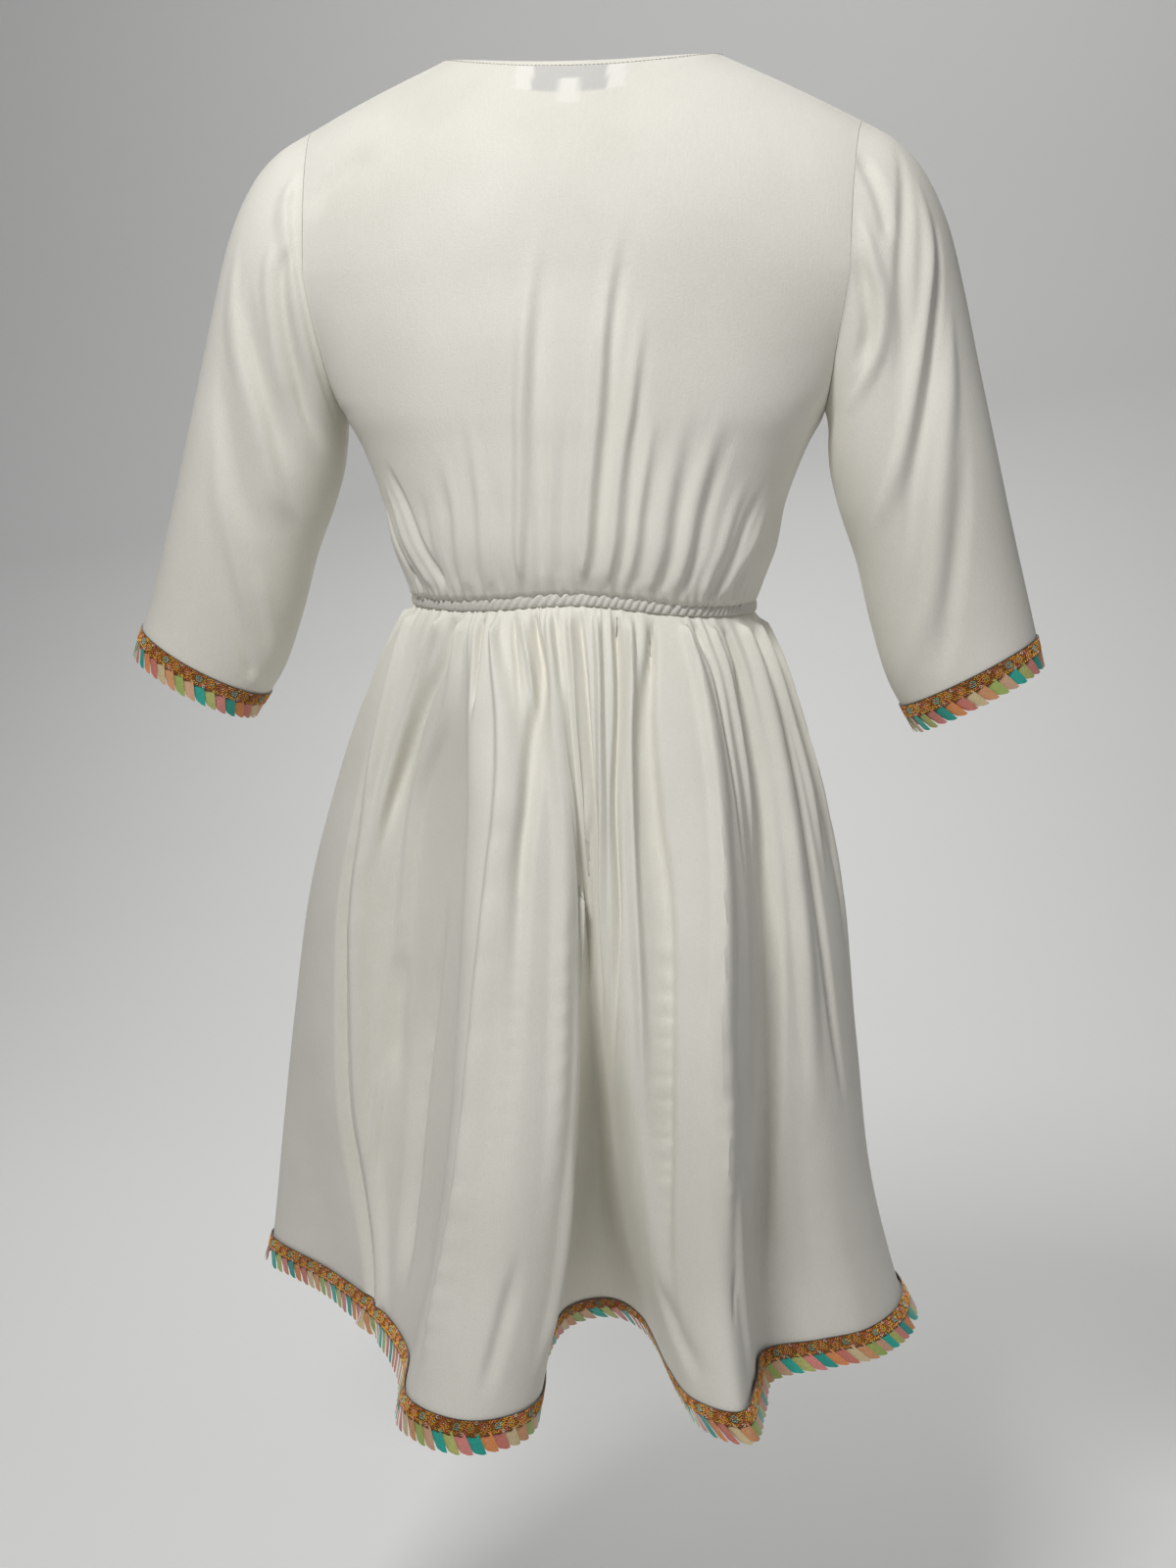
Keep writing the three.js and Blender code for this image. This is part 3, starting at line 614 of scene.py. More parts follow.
def crepe_material(name, light, dark, depth=0.34):
    """Polyester crepe: tightly twisted yarns give a matt pebble grain with a soft sheen on folds."""
    material, tree, shader = new_material(
        name, Roughness=0.65, Sheen_Weight=0.1, Sheen_Roughness=0.45, Specular_IOR_Level=0.3
    )
    place = add_node(tree, "ShaderNodeTexCoord").outputs
    pebble = noise(tree, place["Object"], 1 / (CREPE_GRAIN * MM), 2.5, Roughness=0.6)
    stretch = add_node(tree, "ShaderNodeMapping", {"Scale": CREPE_SLUBS}, {"Vector": place["UV"]})
    slub = noise(tree, stretch.outputs["Vector"], 1.0, 2, Roughness=0.5)
    cloud = noise(tree, place["Object"], 7, 3)
    both = add_node(tree, "ShaderNodeMath", {"operation": "MULTIPLY_ADD", 1: 0.5}, {0: slub, 2: pebble})
    grain = both.outputs["Value"]
    tone = add_node(tree, "ShaderNodeMath", {"operation": "MULTIPLY_ADD", 1: 0.35}, {0: grain, 2: cloud})
    colour = ramp(tree, tone.outputs["Value"], 0.55, 1.15, dark, light)
    # The label behind the thin cloth is painted in: red holds its grey part as painted shade,
    # green its white part as painted light.
    behind = add_node(tree, "ShaderNodeAttribute", {"attribute_name": "behind"})
    parts = add_node(tree, "ShaderNodeSeparateColor", links={"Color": behind.outputs["Color"]})
    for channel, shown in (("Red", "#9FA1A8"), ("Green", "#F9F8F3")):
        links = {"Factor": parts.outputs[channel], MIX_A: colour}
        over = add_node(tree, "ShaderNodeMix", {"data_type": "RGBA", MIX_B: rgba(shown)}, links)
        colour = over.outputs[MIX_RESULT]
    tree.links.new(colour, shader.inputs["Base Color"])
    relief(tree, shader, grain, depth, 0.0006)
    return material


def thread_material(name, roughness, streak_size, sheen=0.2):
    """Thread and satin ribbon: their points' own colours, with a fine streak that is partly the yarn's
    uneven tone and partly painted sheen.
    """
    material, tree, shader = new_material(
        name, Roughness=roughness, Sheen_Weight=sheen, Sheen_Roughness=0.35, Specular_IOR_Level=0.5
    )
    colour = add_node(tree, "ShaderNodeAttribute", {"attribute_name": "thread"})
    place = add_node(tree, "ShaderNodeTexCoord").outputs
    streak = noise(tree, place["Object"], 1 / (streak_size * MM), 2, Roughness=0.6)
    # The streak varies the colour: partly the yarn's own uneven tone, partly painted sheen.
    tinted = add_node(
        tree,
        "ShaderNodeMix",
        {"data_type": "RGBA", "blend_type": "MULTIPLY", "Factor": 1.0},
        {MIX_A: colour.outputs["Color"], MIX_B: ramp(tree, streak, 0.3, 0.7, "#D8D8D8", "#FFFFFF")},
    )
    tree.links.new(tinted.outputs[MIX_RESULT], shader.inputs["Base Color"])
    relief(tree, shader, streak, 0.25, 0.0003)
    return material


def woven_material(name, light, dark):
    """A flat woven tape: fine warp and weft lines."""
    material, tree, shader = new_material(name, Roughness=0.55, Sheen_Weight=0.15)
    place = add_node(tree, "ShaderNodeTexCoord").outputs
    lines = {}
    for socket, axis in enumerate(("X", "Z")):
        values = {"bands_direction": axis, "Scale": 0.5 / (TAPE_WEAVE * MM), "Distortion": 1.5, "Detail": 1}
        wave = add_node(tree, "ShaderNodeTexWave", values, {"Vector": place["Object"]})
        lines[socket] = wave.outputs["Fac"]
    weave = add_node(tree, "ShaderNodeMath", {"operation": "MULTIPLY"}, lines).outputs["Value"]
    tree.links.new(ramp(tree, weave, 0, 1, dark, light), shader.inputs["Base Color"])
    relief(tree, shader, weave, 0.3, 0.0002)
    return material


crepe = crepe_material("off_white_crepe", "#EDEAE0", "#DEDBD0")
# The casing is the same crepe in darker colours: painted shade of its puckers.
shirred_crepe_painted_shade = crepe_material("shirred_crepe_painted_shade", "#E2E0D7", "#CBC8BE", depth=0.3)
embroidery = thread_material("rayon_embroidery_thread", 0.42, 0.5)
satin_ribbon = thread_material("satin_ribbon", 0.38, 0.9, sheen=0.3)
grey_label = woven_material("woven_grey_label", "#9A9CA0", "#7E8085")
white_tape = woven_material("woven_white_tape", "#F4F3EE", "#DDDCD6")
sewing_thread = thread_material("polyester_sewing_thread", 0.5, 0.4)


def dress(obj, material, slot, *nodes):
    """Gives a piece its material and ties it to the frame."""
    obj.data.materials.append(material)
    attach(obj, "root")
    if nodes:
        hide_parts(*nodes)
    return obj


# ---- Bodice -----------------------------------------------------------------------------------------

SEAM_FADE = 0.03  # folds die away over this share of the half width before a side seam
SMOOTHINGS = 160  # passes that soften the cloth below the neck's corners

# Creases of each panel, from the top down, at shares across (1 is the wearer's left) and climbs.
BODICE_BACK_CREASES = [
    (4.2, 9, 8, 0.35, 0.1, [(0.05, 260), (0.085, 200), (0.1, 150), (0.12, 100), (0.14, 50), (0.16, 8)]),
    (-2.2, 8, 9, 0.35, 0.1, [(0.03, 250), (0.06, 170), (0.07, 100), (0.08, 8)]),
    (-1.4, 7, 6, 0.5, 0.1, [(0.12, 230), (0.13, 150), (0.145, 100), (0.165, 50), (0.18, 8)]),
    (1.4, 5, 5, 0.5, 0.1, [(0.02, 170), (0.035, 100), (0.045, 50), (0.05, 8)]),
    (-1.2, 5, 5, 0.5, 0.1, [(-0.01, 150), (0, 90), (0.01, 8)]),
    (1.1, 5, 5, 0.5, 0.1, [(-0.03, 120), (-0.03, 70), (-0.02, 8)]),
    (
        4.4, 9, 7, 0.35, 0.1,
        [(-0.125, 260), (-0.1, 200), (-0.09, 150), (-0.08, 100), (-0.07, 50), (-0.055, 8)],
    ),
    (-2.3, 7, 8, 0.35, 0.1, [(-0.15, 255), (-0.12, 190), (-0.115, 100), (-0.1, 8)]),
    (3.6, 7, 6, 0.35, 0.1, [(-0.19, 210), (-0.17, 150), (-0.16, 100), (-0.155, 50), (-0.135, 8)]),
    (-1.6, 4, 7, 0.4, 0.1, [(-0.21, 200), (-0.19, 130), (-0.195, 60), (-0.18, 8)]),
    (1.7, 5, 5, 0.5, 0.1, [(-0.23, 140), (-0.23, 90), (-0.21, 8)]),
    (-2.0, 6, 6, 0.5, 0.1, [(-0.265, 130), (-0.26, 60), (-0.245, 8)]),
    (2.1, 7, 7, 0.5, 0.1, [(-0.31, 140), (-0.31, 60), (-0.29, 8)]),
    (-2.2, 7, 7, 0.5, 0.1, [(-0.35, 145), (-0.36, 60), (-0.34, 8)]),
    (2.4, 8, 8, 0.5, 0.1, [(-0.42, 140), (-0.41, 80), (-0.39, 8)]),
    (-2.3, 8, 8, 0.5, 0.1, [(-0.48, 130), (-0.46, 70), (-0.43, 8)]),
    (1.8, 7, 7, 0.5, 0.1, [(-0.6, 95), (-0.55, 50), (-0.51, 8)]),
    (-2.4, 7, 7, 0.5, 0.1, [(-0.72, 90), (-0.65, 60), (-0.6, 30), (-0.57, 8)]),
    (1.8, 7, 6, 0.5, 0.1, [(-0.78, 80), (-0.72, 50), (-0.65, 25), (-0.61, 8)]),
    (-1.4, 6, 6, 0.5, 0.1, [(0.5, 85), (0.5, 50), (0.49, 8)]),
    (-1.5, 8, 8, 0.5, 0.1, [(0.41, 100), (0.4, 60), (0.42, 8)]),
    (1.6, 7, 7, 0.5, 0.1, [(0.36, 115), (0.36, 60), (0.38, 8)]),
    (-1.6, 7, 7, 0.5, 0.1, [(0.28, 140), (0.3, 70), (0.32, 8)]),
    (1.7, 7, 7, 0.5, 0.1, [(0.25, 140), (0.26, 70), (0.28, 8)]),
    (-1.3, 6, 6, 0.5, 0.1, [(0.21, 100), (0.21, 50), (0.23, 8)]),
    (-3.4, 7, 6, 0.4, 0.1, [(0.66, 100), (0.62, 75), (0.57, 50), (0.48, 10)]),
    (2.0, 6, 6, 0.4, 0.1, [(0.74, 90), (0.69, 65), (0.64, 40), (0.56, 10)]),
    (-2.4, 5, 5, 0.4, 0.1, [(0.85, 80), (0.8, 55), (0.72, 30), (0.64, 8)]),
    (-3.0, 16, 13, 0.4, 0.5, [(0.5, 290), (0.62, 285), (0.78, 270), (0.9, 255)]),
]
BODICE_FRONT_CREASES = [
    (2.6, 6, 6, 0.5, 0.1, [(0.16, 170), (0.2, 90), (0.22, 8)]),
    (-2.0, 6, 6, 0.5, 0.1, [(0.1, 160), (0.14, 90), (0.17, 8)]),
    (2.8, 6, 6, 0.5, 0.1, [(-0.1, 185), (-0.12, 90), (-0.1, 8)]),
    (-2.2, 6, 6, 0.5, 0.1, [(-0.17, 170), (-0.18, 90), (-0.15, 8)]),
    (2.2, 7, 7, 0.5, 0.1, [(-0.3, 140), (-0.29, 80), (-0.26, 8)]),
    (-1.8, 6, 6, 0.5, 0.1, [(-0.36, 120), (-0.35, 80), (-0.32, 8)]),
    (2.0, 7, 7, 0.5, 0.1, [(0.4, 120), (0.38, 70), (0.36, 8)]),
    (-2.6, 7, 7, 0.5, 0.1, [(0.64, 95), (0.58, 60), (0.5, 8)]),
    (-2.4, 7, 7, 0.5, 0.1, [(-0.66, 92), (-0.6, 58), (-0.53, 8)]),
    (1.8, 7, 7, 0.5, 0.1, [(-0.77, 85), (-0.7, 52), (-0.61, 8)]),
]


def bodice(side, columns, rows_below, rows_above):
    """One panel, from the casing up to the shoulder seams and the neck."""
    blades = BLADE_LEVEL - WAIST_LEVEL
    bottom = CASING_EDGE + SEAM_GAP
    climb = np.concatenate(
        [np.linspace(bottom, blades, rows_below), blades + np.linspace(0, YOKE_CLIMB, rows_above)[1:]]
    )
    across = side * np.linspace(1, -1, columns)
    across, climb = np.meshgrid(across, climb)
    grid = bodice_point(side, across, climb)
    # The corners of the neck fade into the cloth below them.
    share = (climb - blades) / YOKE_CLIMB
    soft = 0.5 * (ease(1 - share, 0.03, 0.3) * ease(share, -0.3, 0.0))[:, 1:-1, None]
    for _ in range(SMOOTHINGS):
        grid[:, 1:-1] += soft * ((grid[:, 2:] + grid[:, :-2]) / 2 - grid[:, 1:-1])
    # Round the body, a panel is longer than its width from side to side.
    width = 1.25 * along(BODICE, "z", np.minimum(WAIST_LEVEL + climb, BLADE_LEVEL))["half"]
    small = gathers(44, -0.98, 0.98, height=(0.5, 1.7), wide=(2.4, 3.8), length=(14, 60), lean=0.02)
    height = gather_height(small, across, climb - bottom, width)
    creases = BODICE_BACK_CREASES if side > 0 else BODICE_FRONT_CREASES
    height += crease_height(creases, grid, lambda share, up: bodice_point(side, share, up), seam=1)
    height *= ease(1 - np.abs(across), 0, SEAM_FADE)
    return grid + normals(grid) * height[..., None]


LABEL = {"width": 74, "grey": 50, "height": 22, "top": 1.5}
SIZE_TAB = {"width": 14, "height": 20, "top": 12}


BLUR = 0.8  # how soft the label's edges look through the cloth
ABOVE_LABEL = 6  # cloth that isn't counted above the label, most of it turned in


def label_shadow(grid, side):
    """How strongly the label shows through the back of the neck, as painted shade and painted light:
    red is its grey, green its white.
    """
    shown = np.zeros(grid.shape[:2] + (4,))
    if side > 0:
        steps = np.linalg.norm(np.diff(grid[::-1], axis=0), axis=-1).mean(1)
        below = np.concatenate([[0], np.cumsum(steps)])[::-1, None] - ABOVE_LABEL
        x = np.abs(grid[..., 0])

        def patch(width, top, height):
            beside = ease(width / 2 - x, -BLUR, BLUR)
            return beside * ease(below, top - BLUR, top + BLUR) * ease(top + height - below, -BLUR, BLUR)

        grey = patch(LABEL["grey"], LABEL["top"], LABEL["height"])
        ends = patch(LABEL["width"], LABEL["top"], LABEL["height"]) - grey
        tab = patch(**SIZE_TAB)
        # The grey part is painted shade on the cloth, the white part painted light.
        shown[..., 0] = 0.42 * grey * (1 - tab)
        shown[..., 1] = 0.3 * np.maximum(ends, tab)
    return shown


for name, side, columns in (("bodice_back", 1, 270), ("bodice_front", -1, 165)):
    grid = turned_in(bodice(side, columns, 84, 46), ("left", "right", "top"))
    grid = tucked(grid, top=False)
    piece = cloth(name + "_crepe", grid, behind=label_shadow(grid, side))
    dress(piece, crepe, "crepe", name)


# ---- Sleeves ----------------------------------------------------------------------------------------

# Creases of each sleeve, from the armhole down, at degrees round it (0 is the outer fold, 90 the
# back) and rings (9 is the cuff). The right sleeve is made as a left one and mirrored.
SLEEVE_CREASES = {
    "left": [
        (3.4, 13, 5, 0.2, 0.3, [(44, 0.15), (60, 0.6), (88, 0.85), (122, 1.35), (168, 2.6)]),
        (-3.4, 6, 9, 0.2, 0.3, [(78, 0.5), (84, 1.4), (112, 2.5), (126, 3.2), (150, 3.9)]),
        (2.6, 9, 7, 0.3, 0.3, [(66, 1.0), (78, 2.0), (100, 3.0), (120, 3.9)]),
        (4.2, 18, 10, 0.4, 0.3, [(38, 2.4), (60, 3.6), (92, 4.5), (118, 5.3), (140, 5.6)]),
        (-3.6, 9, 14, 0.4, 0.3, [(62, 2.6), (82, 3.7), (104, 4.3), (128, 4.9)]),
        (-3.0, 14, 14, 0.4, 0.4, [(50, 4.4), (74, 5.2), (98, 5.9), (124, 6.3)]),
        (2.6, 14, 12, 0.4, 0.4, [(60, 5.2), (86, 6.2), (110, 7.0), (140, 8.0)]),
        (-2.4, 8, 8, 0.4, 0.2, [(80, 6.0), (102, 7.0), (128, 7.9), (146, 8.5)]),
        (2.0, 9, 9, 0.4, 0.2, [(110, 6.4), (136, 7.2), (160, 8.0)]),
        (3.0, 16, 12, 0.4, 0.4, [(335, 0.8), (300, 2.6), (262, 4.2), (225, 5.2)]),
        (-3.0, 12, 12, 0.4, 0.4, [(320, 2.2), (285, 4.0), (245, 5.6), (212, 6.6)]),
        (2.4, 12, 12, 0.4, 0.4, [(300, 4.6), (262, 6.4), (228, 7.8)]),
    ],
    "right": [
        (-3.2, 8, 8, 0.3, 0.3, [(40, 0.0), (48, 0.4), (62, 1.2), (70, 1.8)]),
        (3.4, 9, 6, 0.2, 0.3, [(66, 0.1), (82, 1.3), (88, 2.3), (102, 3.0), (134, 3.0)]),
        (-3.6, 7, 8, 0.3, 0.3, [(82, 0.4), (92, 1.3), (102, 2.2), (118, 2.5)]),
        (-3.6, 9, 9, 0.3, 0.4, [(18, 0.9), (50, 1.8), (70, 2.5), (82, 3.6), (96, 4.3)]),
        (4.2, 12, 8, 0.3, 0.3, [(26, 1.6), (50, 3.1), (81, 4.4), (104, 5.2), (142, 5.9)]),
        (-3.6, 8, 10, 0.3, 0.3, [(26, 2.5), (50, 3.6), (72, 4.7), (98, 5.7), (118, 6.8)]),
        (3.8, 13, 11, 0.3, 0.3, [(36, 3.8), (56, 4.9), (82, 6.1), (104, 7.2), (142, 8.3)]),
        (-2.6, 10, 10, 0.4, 0.3, [(46, 5.4), (70, 6.5), (94, 7.6), (112, 8.5)]),
        (3.0, 16, 12, 0.4, 0.4, [(330, 1.0), (296, 2.9), (258, 4.4), (222, 5.3)]),
        (-3.0, 12, 12, 0.4, 0.4, [(318, 2.6), (280, 4.4), (242, 5.9), (210, 6.8)]),
        (2.4, 12, 12, 0.4, 0.4, [(296, 5.0), (258, 6.7), (226, 8.0)]),
    ],
}


def sleeve(side, swing, columns, rows):
    """A left sleeve with the creases of either side. swing is how far out its cuff hangs."""
    ring = np.linspace(CUFF_RING, 0, rows)
    angle = np.linspace(0, 2 * PI, columns, endpoint=False)
    angle, ring = np.meshgrid(angle, ring)
    grid = sleeve_point(angle, ring, swing)
    creases = SLEEVE_CREASES[side]
    height = crease_height(creases, grid, lambda turn, at: sleeve_point(np.radians(turn), at, swing))
    return grid + normals(grid, closed=True) * height[..., None]


sleeves = {}
for name, swing in (("left", LEFT_SWING), ("right", 0)):
    grid = sleeve(name, swing, 170, 100)
    if name == "right":
        grid = grid[:, ::-1] * [-1, 1, 1]
    sleeves[name] = grid
    piece = cloth(f"sleeve_{name}_crepe", grid, closed=True)
    dress(piece, crepe, "crepe", f"sleeve_{name}")


# ---- Waist casing -----------------------------------------------------------------------------------

PUCKERS = 136
PUCKER_DEPTH = 1.9
CASING_SWELL = 2.9  # how far the casing stands out from the waist's ring, and in from it

share, around = (np.linspace(0, end, count, endpoint=False) for end, count in ((1, 900), (2 * PI, 16)))
share, around = np.meshgrid(share, around)
outside = np.maximum(0, np.cos(around))
# The puckers bend over the casing's height and drift seven times round the waist.
pucker = np.abs(np.cos(PI * (PUCKERS * share - 0.6 * np.sin(around) + 0.6 * np.sin(2 * PI * 7 * share))))
grown = CASING_SWELL * np.cos(around) - PUCKER_DEPTH * (1 - pucker) * outside
plan = waist_plan(share, *(reach + grown for reach in WAIST.values()))
up = CASING_EDGE * np.sign(np.sin(around)) * np.abs(np.sin(around)) ** 0.7
casing = stack(plan[..., 0], plan[..., 1], WAIST_LEVEL + waist_rise(share) + up)
casing = np.concatenate([casing, casing[:1]], 0)
casing = np.concatenate([casing, casing[:, :1]], 1)
band = new_object("waist_casing_crepe", casing.reshape(-1, 3), grid_faces(*casing.shape[:2]))
add_weld(band)
finish_modifiers(band)
dress(band, shirred_crepe_painted_shade, "elastic_casing", "waist_casing")


# ---- Skirt ------------------------------------------------------------------------------------------

SKIRT_TOP = WAIST_LEVEL - CASING_EDGE - SEAM_GAP
SKIRT_CUT_WIDTH = 1058  # the weave's coordinates are this wide all the way up

# Creases of the back from the waist down, at shares of the hem and levels.
SKIRT_BACK_CREASES = [
    (2.6, 6, 8, 0.03, 0.3, [(0.09, -380), (0.09, -450), (0.085, -540)]),
    (
        -4.4, 10, 5, 0.3, 0.03,
        [(0.08, -450), (0.075, -570), (0.08, -650), (0.09, -740), (0.11, -800), (0.145, -887)],
    ),
    (
        3.2, 5, 16, 0.3, 0.03,
        [(0.095, -450), (0.09, -570), (0.095, -650), (0.105, -740), (0.125, -800), (0.16, -887)],
    ),
    (3.2, 9, 8, 0.03, 0.3, [(0.175, -380), (0.15, -430), (0.12, -490), (0.1, -580)]),
    (-3.2, 8, 8, 0.03, 0.3, [(0.2, -380), (0.19, -410), (0.165, -440), (0.135, -500), (0.11, -560)]),
    (3.2, 9, 12, 0.03, 0.3, [(0.22, -380), (0.2, -440), (0.16, -500), (0.15, -570), (0.14, -710)]),
    (-2.6, 12, 12, 0.4, 0.3, [(0.15, -610), (0.145, -660), (0.145, -730)]),
    (1.8, 6, 6, 0.4, 0.4, [(0.13, -700), (0.125, -800)]),
    (-4.6, 20, 10, 0.3, 0.3, [(0.2, -560), (0.18, -690), (0.18, -800), (0.19, -860)]),
    (-3.4, 4, 4, 0.03, 0.5, [(0.3, -380), (0.29, -450)]),
    (
        4.4, 6, 20, 0.03, 0.1,
        [(0.33, -380), (0.34, -450), (0.325, -550), (0.315, -650), (0.31, -750), (0.3, -870)],
    ),
    (-2.6, 4, 4, 0.03, 0.5, [(0.365, -380), (0.365, -440)]),
    (2.6, 4, 4, 0.03, 0.5, [(0.385, -380), (0.385, -450)]),
    (
        -4.2, 9, 10, 0.03, 0.3,
        [(0.42, -380), (0.41, -420), (0.38, -450), (0.36, -500), (0.35, -560), (0.34, -780)],
    ),
    (
        3.2, 10, 12, 0.03, 0.3,
        [(0.5, -380), (0.47, -430), (0.42, -480), (0.39, -560), (0.38, -680), (0.38, -790)],
    ),
    (-1.8, 4, 4, 0.03, 0.5, [(0.54, -380), (0.52, -440)]),
    (2.4, 4, 4, 0.03, 0.5, [(0.57, -380), (0.57, -560)]),
    (-3.4, 5, 4, 0.03, 0.4, [(0.59, -380), (0.595, -450), (0.6, -560), (0.6, -650)]),
    (3.2, 4, 4, 0.03, 0.4, [(0.64, -380), (0.64, -450), (0.62, -560), (0.61, -650)]),
    (
        -4.4, 5, 5, 0.03, 0.4,
        [(0.71, -380), (0.71, -440), (0.69, -500), (0.68, -560), (0.65, -620), (0.63, -680)],
    ),
    (3.6, 6, 6, 0.03, 0.3, [(0.735, -380), (0.73, -450), (0.725, -520), (0.73, -620), (0.73, -700)]),
    (
        -5.6, 17, 8, 0.03, 0.2,
        [(0.76, -380), (0.75, -440), (0.75, -500), (0.755, -570), (0.75, -700), (0.74, -850)],
    ),
    (4.6, 5, 18, 0.03, 0.2, [(0.785, -380), (0.79, -450), (0.785, -550), (0.78, -650), (0.785, -800)]),
    (-2.4, 5, 5, 0.03, 0.4, [(0.81, -380), (0.83, -430), (0.83, -560)]),
    (2.6, 5, 5, 0.03, 0.4, [(0.85, -380), (0.86, -450), (0.86, -570)]),
    (
        -4.6, 9, 13, 0.03, 0.1,
        [(0.885, -380), (0.89, -450), (0.89, -520), (0.885, -600), (0.88, -720), (0.875, -850)],
    ),
    (3.8, 10, 14, 0.03, 0.3, [(0.92, -380), (0.93, -450), (0.93, -600), (0.935, -740)]),
    (-3.2, 7, 7, 0.03, 0.3, [(0.95, -380), (0.95, -520), (0.955, -620), (0.97, -740)]),
    (2.4, 6, 6, 0.03, 0.3, [(0.965, -380), (0.97, -450), (0.975, -570)]),
    (2.4, 10, 12, 0.4, 0.3, [(0.4, -700), (0.4, -790), (0.39, -870)]),
    (-2.2, 8, 10, 0.4, 0.3, [(0.36, -770), (0.35, -870)]),
    (-2.6, 8, 16, 0.4, 0.4, [(0.72, -800), (0.74, -840), (0.76, -870)]),
    (2.2, 9, 12, 0.4, 0.2, [(0.8, -700), (0.8, -800), (0.81, -880)]),
]


def falling_folds(count):
    """Long uneven folds for a panel whose own aren't known, each a ridge and a trough."""
    creases = []
    for i in range(count):
        place = (i + 0.5 + rng.uniform(-0.25, 0.25)) / count
        drift, bottom = rng.uniform(-0.012, 0.012), rng.uniform(-800, -600)
        rise, wide = rng.uniform(2.4, 5.0), rng.uniform(5, 12)
        for aside, sign in ((0, 1), (rng.choice((-1, 1)) * 0.012, -0.9)):
            path = [(place + aside, -378), (place + aside + drift, -480), (place + aside * 1.5, bottom)]
            creases.append((sign * rise, wide, wide * rng.uniform(0.5, 1), 0.03, 0.4, path))
    return creases


def skirt(start, end, columns, rows):
    """One panel between two places round the hem, from the hem up to the casing."""
    places = hem_places(start, end, columns)
    places[-1] = end
    place, level = np.meshgrid(places, np.linspace(HEM_LEVEL, SKIRT_TOP, rows))
    shares = np.linspace(0, 1, columns)
    across = np.broadcast_to(shares, place.shape)
    grid = skirt_point(place, level)
    width = np.linalg.norm(np.diff(grid, axis=1), axis=-1).sum(1)[:, None]
    small = gathers(34, 0.01, 0.99, height=(0.9, 2.6), wide=(2.6, 4.2), length=(20, 80), lean=0.006)
    height = gather_height(small, across, SKIRT_TOP - level, mix(width[-1, 0], width, 0.5))
    creases = SKIRT_BACK_CREASES if start == 0 else falling_folds(15)
    height += crease_height(
        creases, grid, lambda share, at: skirt_point(np.interp(share, shares, places), at), deep=1.6
    )
    # Folds die away at the side seams and are half as high at the casing.
    height *= ease(np.minimum(across, 1 - across), 0, 0.012)
    height *= mix(0.5, 1, ease(SKIRT_TOP - level, 0, 10))
    return grid + normals(grid) * height[..., None]


skirts = {}
for name, start, end, columns in (("back", 0, RIGHT_SEAM, 450), ("front", RIGHT_SEAM, 1, 290)):
    skirts[name] = skirt(start, end, columns, 104)
    grid = tucked(turned_in(skirts[name], ("left", "right")), top=True)
    piece = cloth(f"skirt_{name}_crepe", grid, uv_width=SKIRT_CUT_WIDTH)
    dress(piece, crepe, "crepe", f"skirt_{name}")


# ---- Trims ------------------------------------------------------------------------------------------

RIBBON_COLOURS = (
    "#35BFAE #C9CC7C #E8948A #2FAE9E #EE9A5E #E08878 #E4CFA2 #E8A878 #B4C870 #E6B896".split()
)
TAB_PITCH = 8.4
TAB_WIDTH = 1.28  # in pitches, so that tabs overlap
TAB_LENGTH = 12.4
TAB_SLANT = 8.0
TAB_START = 1.5  # how far above the cloth's edge the tabs begin
RIBBON_THICK = 0.35


class Edge:
    """A cloth's lower edge, to hang trims from: s runs along it, h up the cloth, out from it."""

    def __init__(self, grid, closed):
        self.closed = closed
        out = normals(grid, closed)[0]
        edge, above = grid[0], grid[3]
        if closed:
            edge, above, out = (np.concatenate([v, v[:1]]) for v in (edge, above, out))
        self.edge, self.up, self.out = edge, unit(above - edge), out
        self.at = distance_along(edge)
        self.length = self.at[-1]

    def point(self, s, h, out):
        s = s % self.length if self.closed else np.clip(s, 0, self.length)

        def read(values):
            return np.stack([np.interp(s, self.at, values[:, i]) for i in range(3)], -1)

        return read(self.edge) + read(self.up) * h[..., None] + read(self.out) * out[..., None]


def ruffle(name, edge):
    """A satin ribbon pleated into slanted tabs, each over the next."""
    tabs = round(edge.length / TAB_PITCH)
    pitch = edge.length / tabs
    across, down = np.meshgrid(np.linspace(0, 1, 5), np.linspace(0, 1, 6))
    round_corner = 1.8 * np.clip(1 - across * 3.2, 0, 1) ** 2 + np.clip(across * 5 - 4, 0, 1) ** 2
    saw = 3.0 * across - 0.6
    fall = TAB_LENGTH * down + (saw - round_corner) * down**2
    s0 = across * pitch * TAB_WIDTH + TAB_SLANT * down
    out0 = 1.5 * across - 0.5 + 0.5 * down * np.sin(across * PI)
    points, faces, colours = [], [], []
    for tab in range(tabs):
        long, aside, bright = rng.uniform(-1, 1, 3)
        # The last tab of an open edge is narrower, so that it ends nearer the seam.
        last = not edge.closed and tab == tabs - 1
        s = tab * pitch + (s0 / 1.3 if last else s0)
        h = TAB_START - fall * (1 + 0.03 * long)
        points.append(edge.point(s, h, out0 + 0.25 * aside * down).reshape(-1, 3))
        faces.append(grid_faces(*across.shape)[:, ::-1] + tab * across.size)
        colour = RIBBON_COLOURS[tab % len(RIBBON_COLOURS)]
        colours.append(dyed(colour, across.size) * (1 + 0.05 * bright))
    ribbon = new_object(name, *map(np.concatenate, (points, faces)), colours=np.concatenate(colours))
    add_wall(ribbon, RIBBON_THICK, offset=0)
    return finish_modifiers(ribbon)


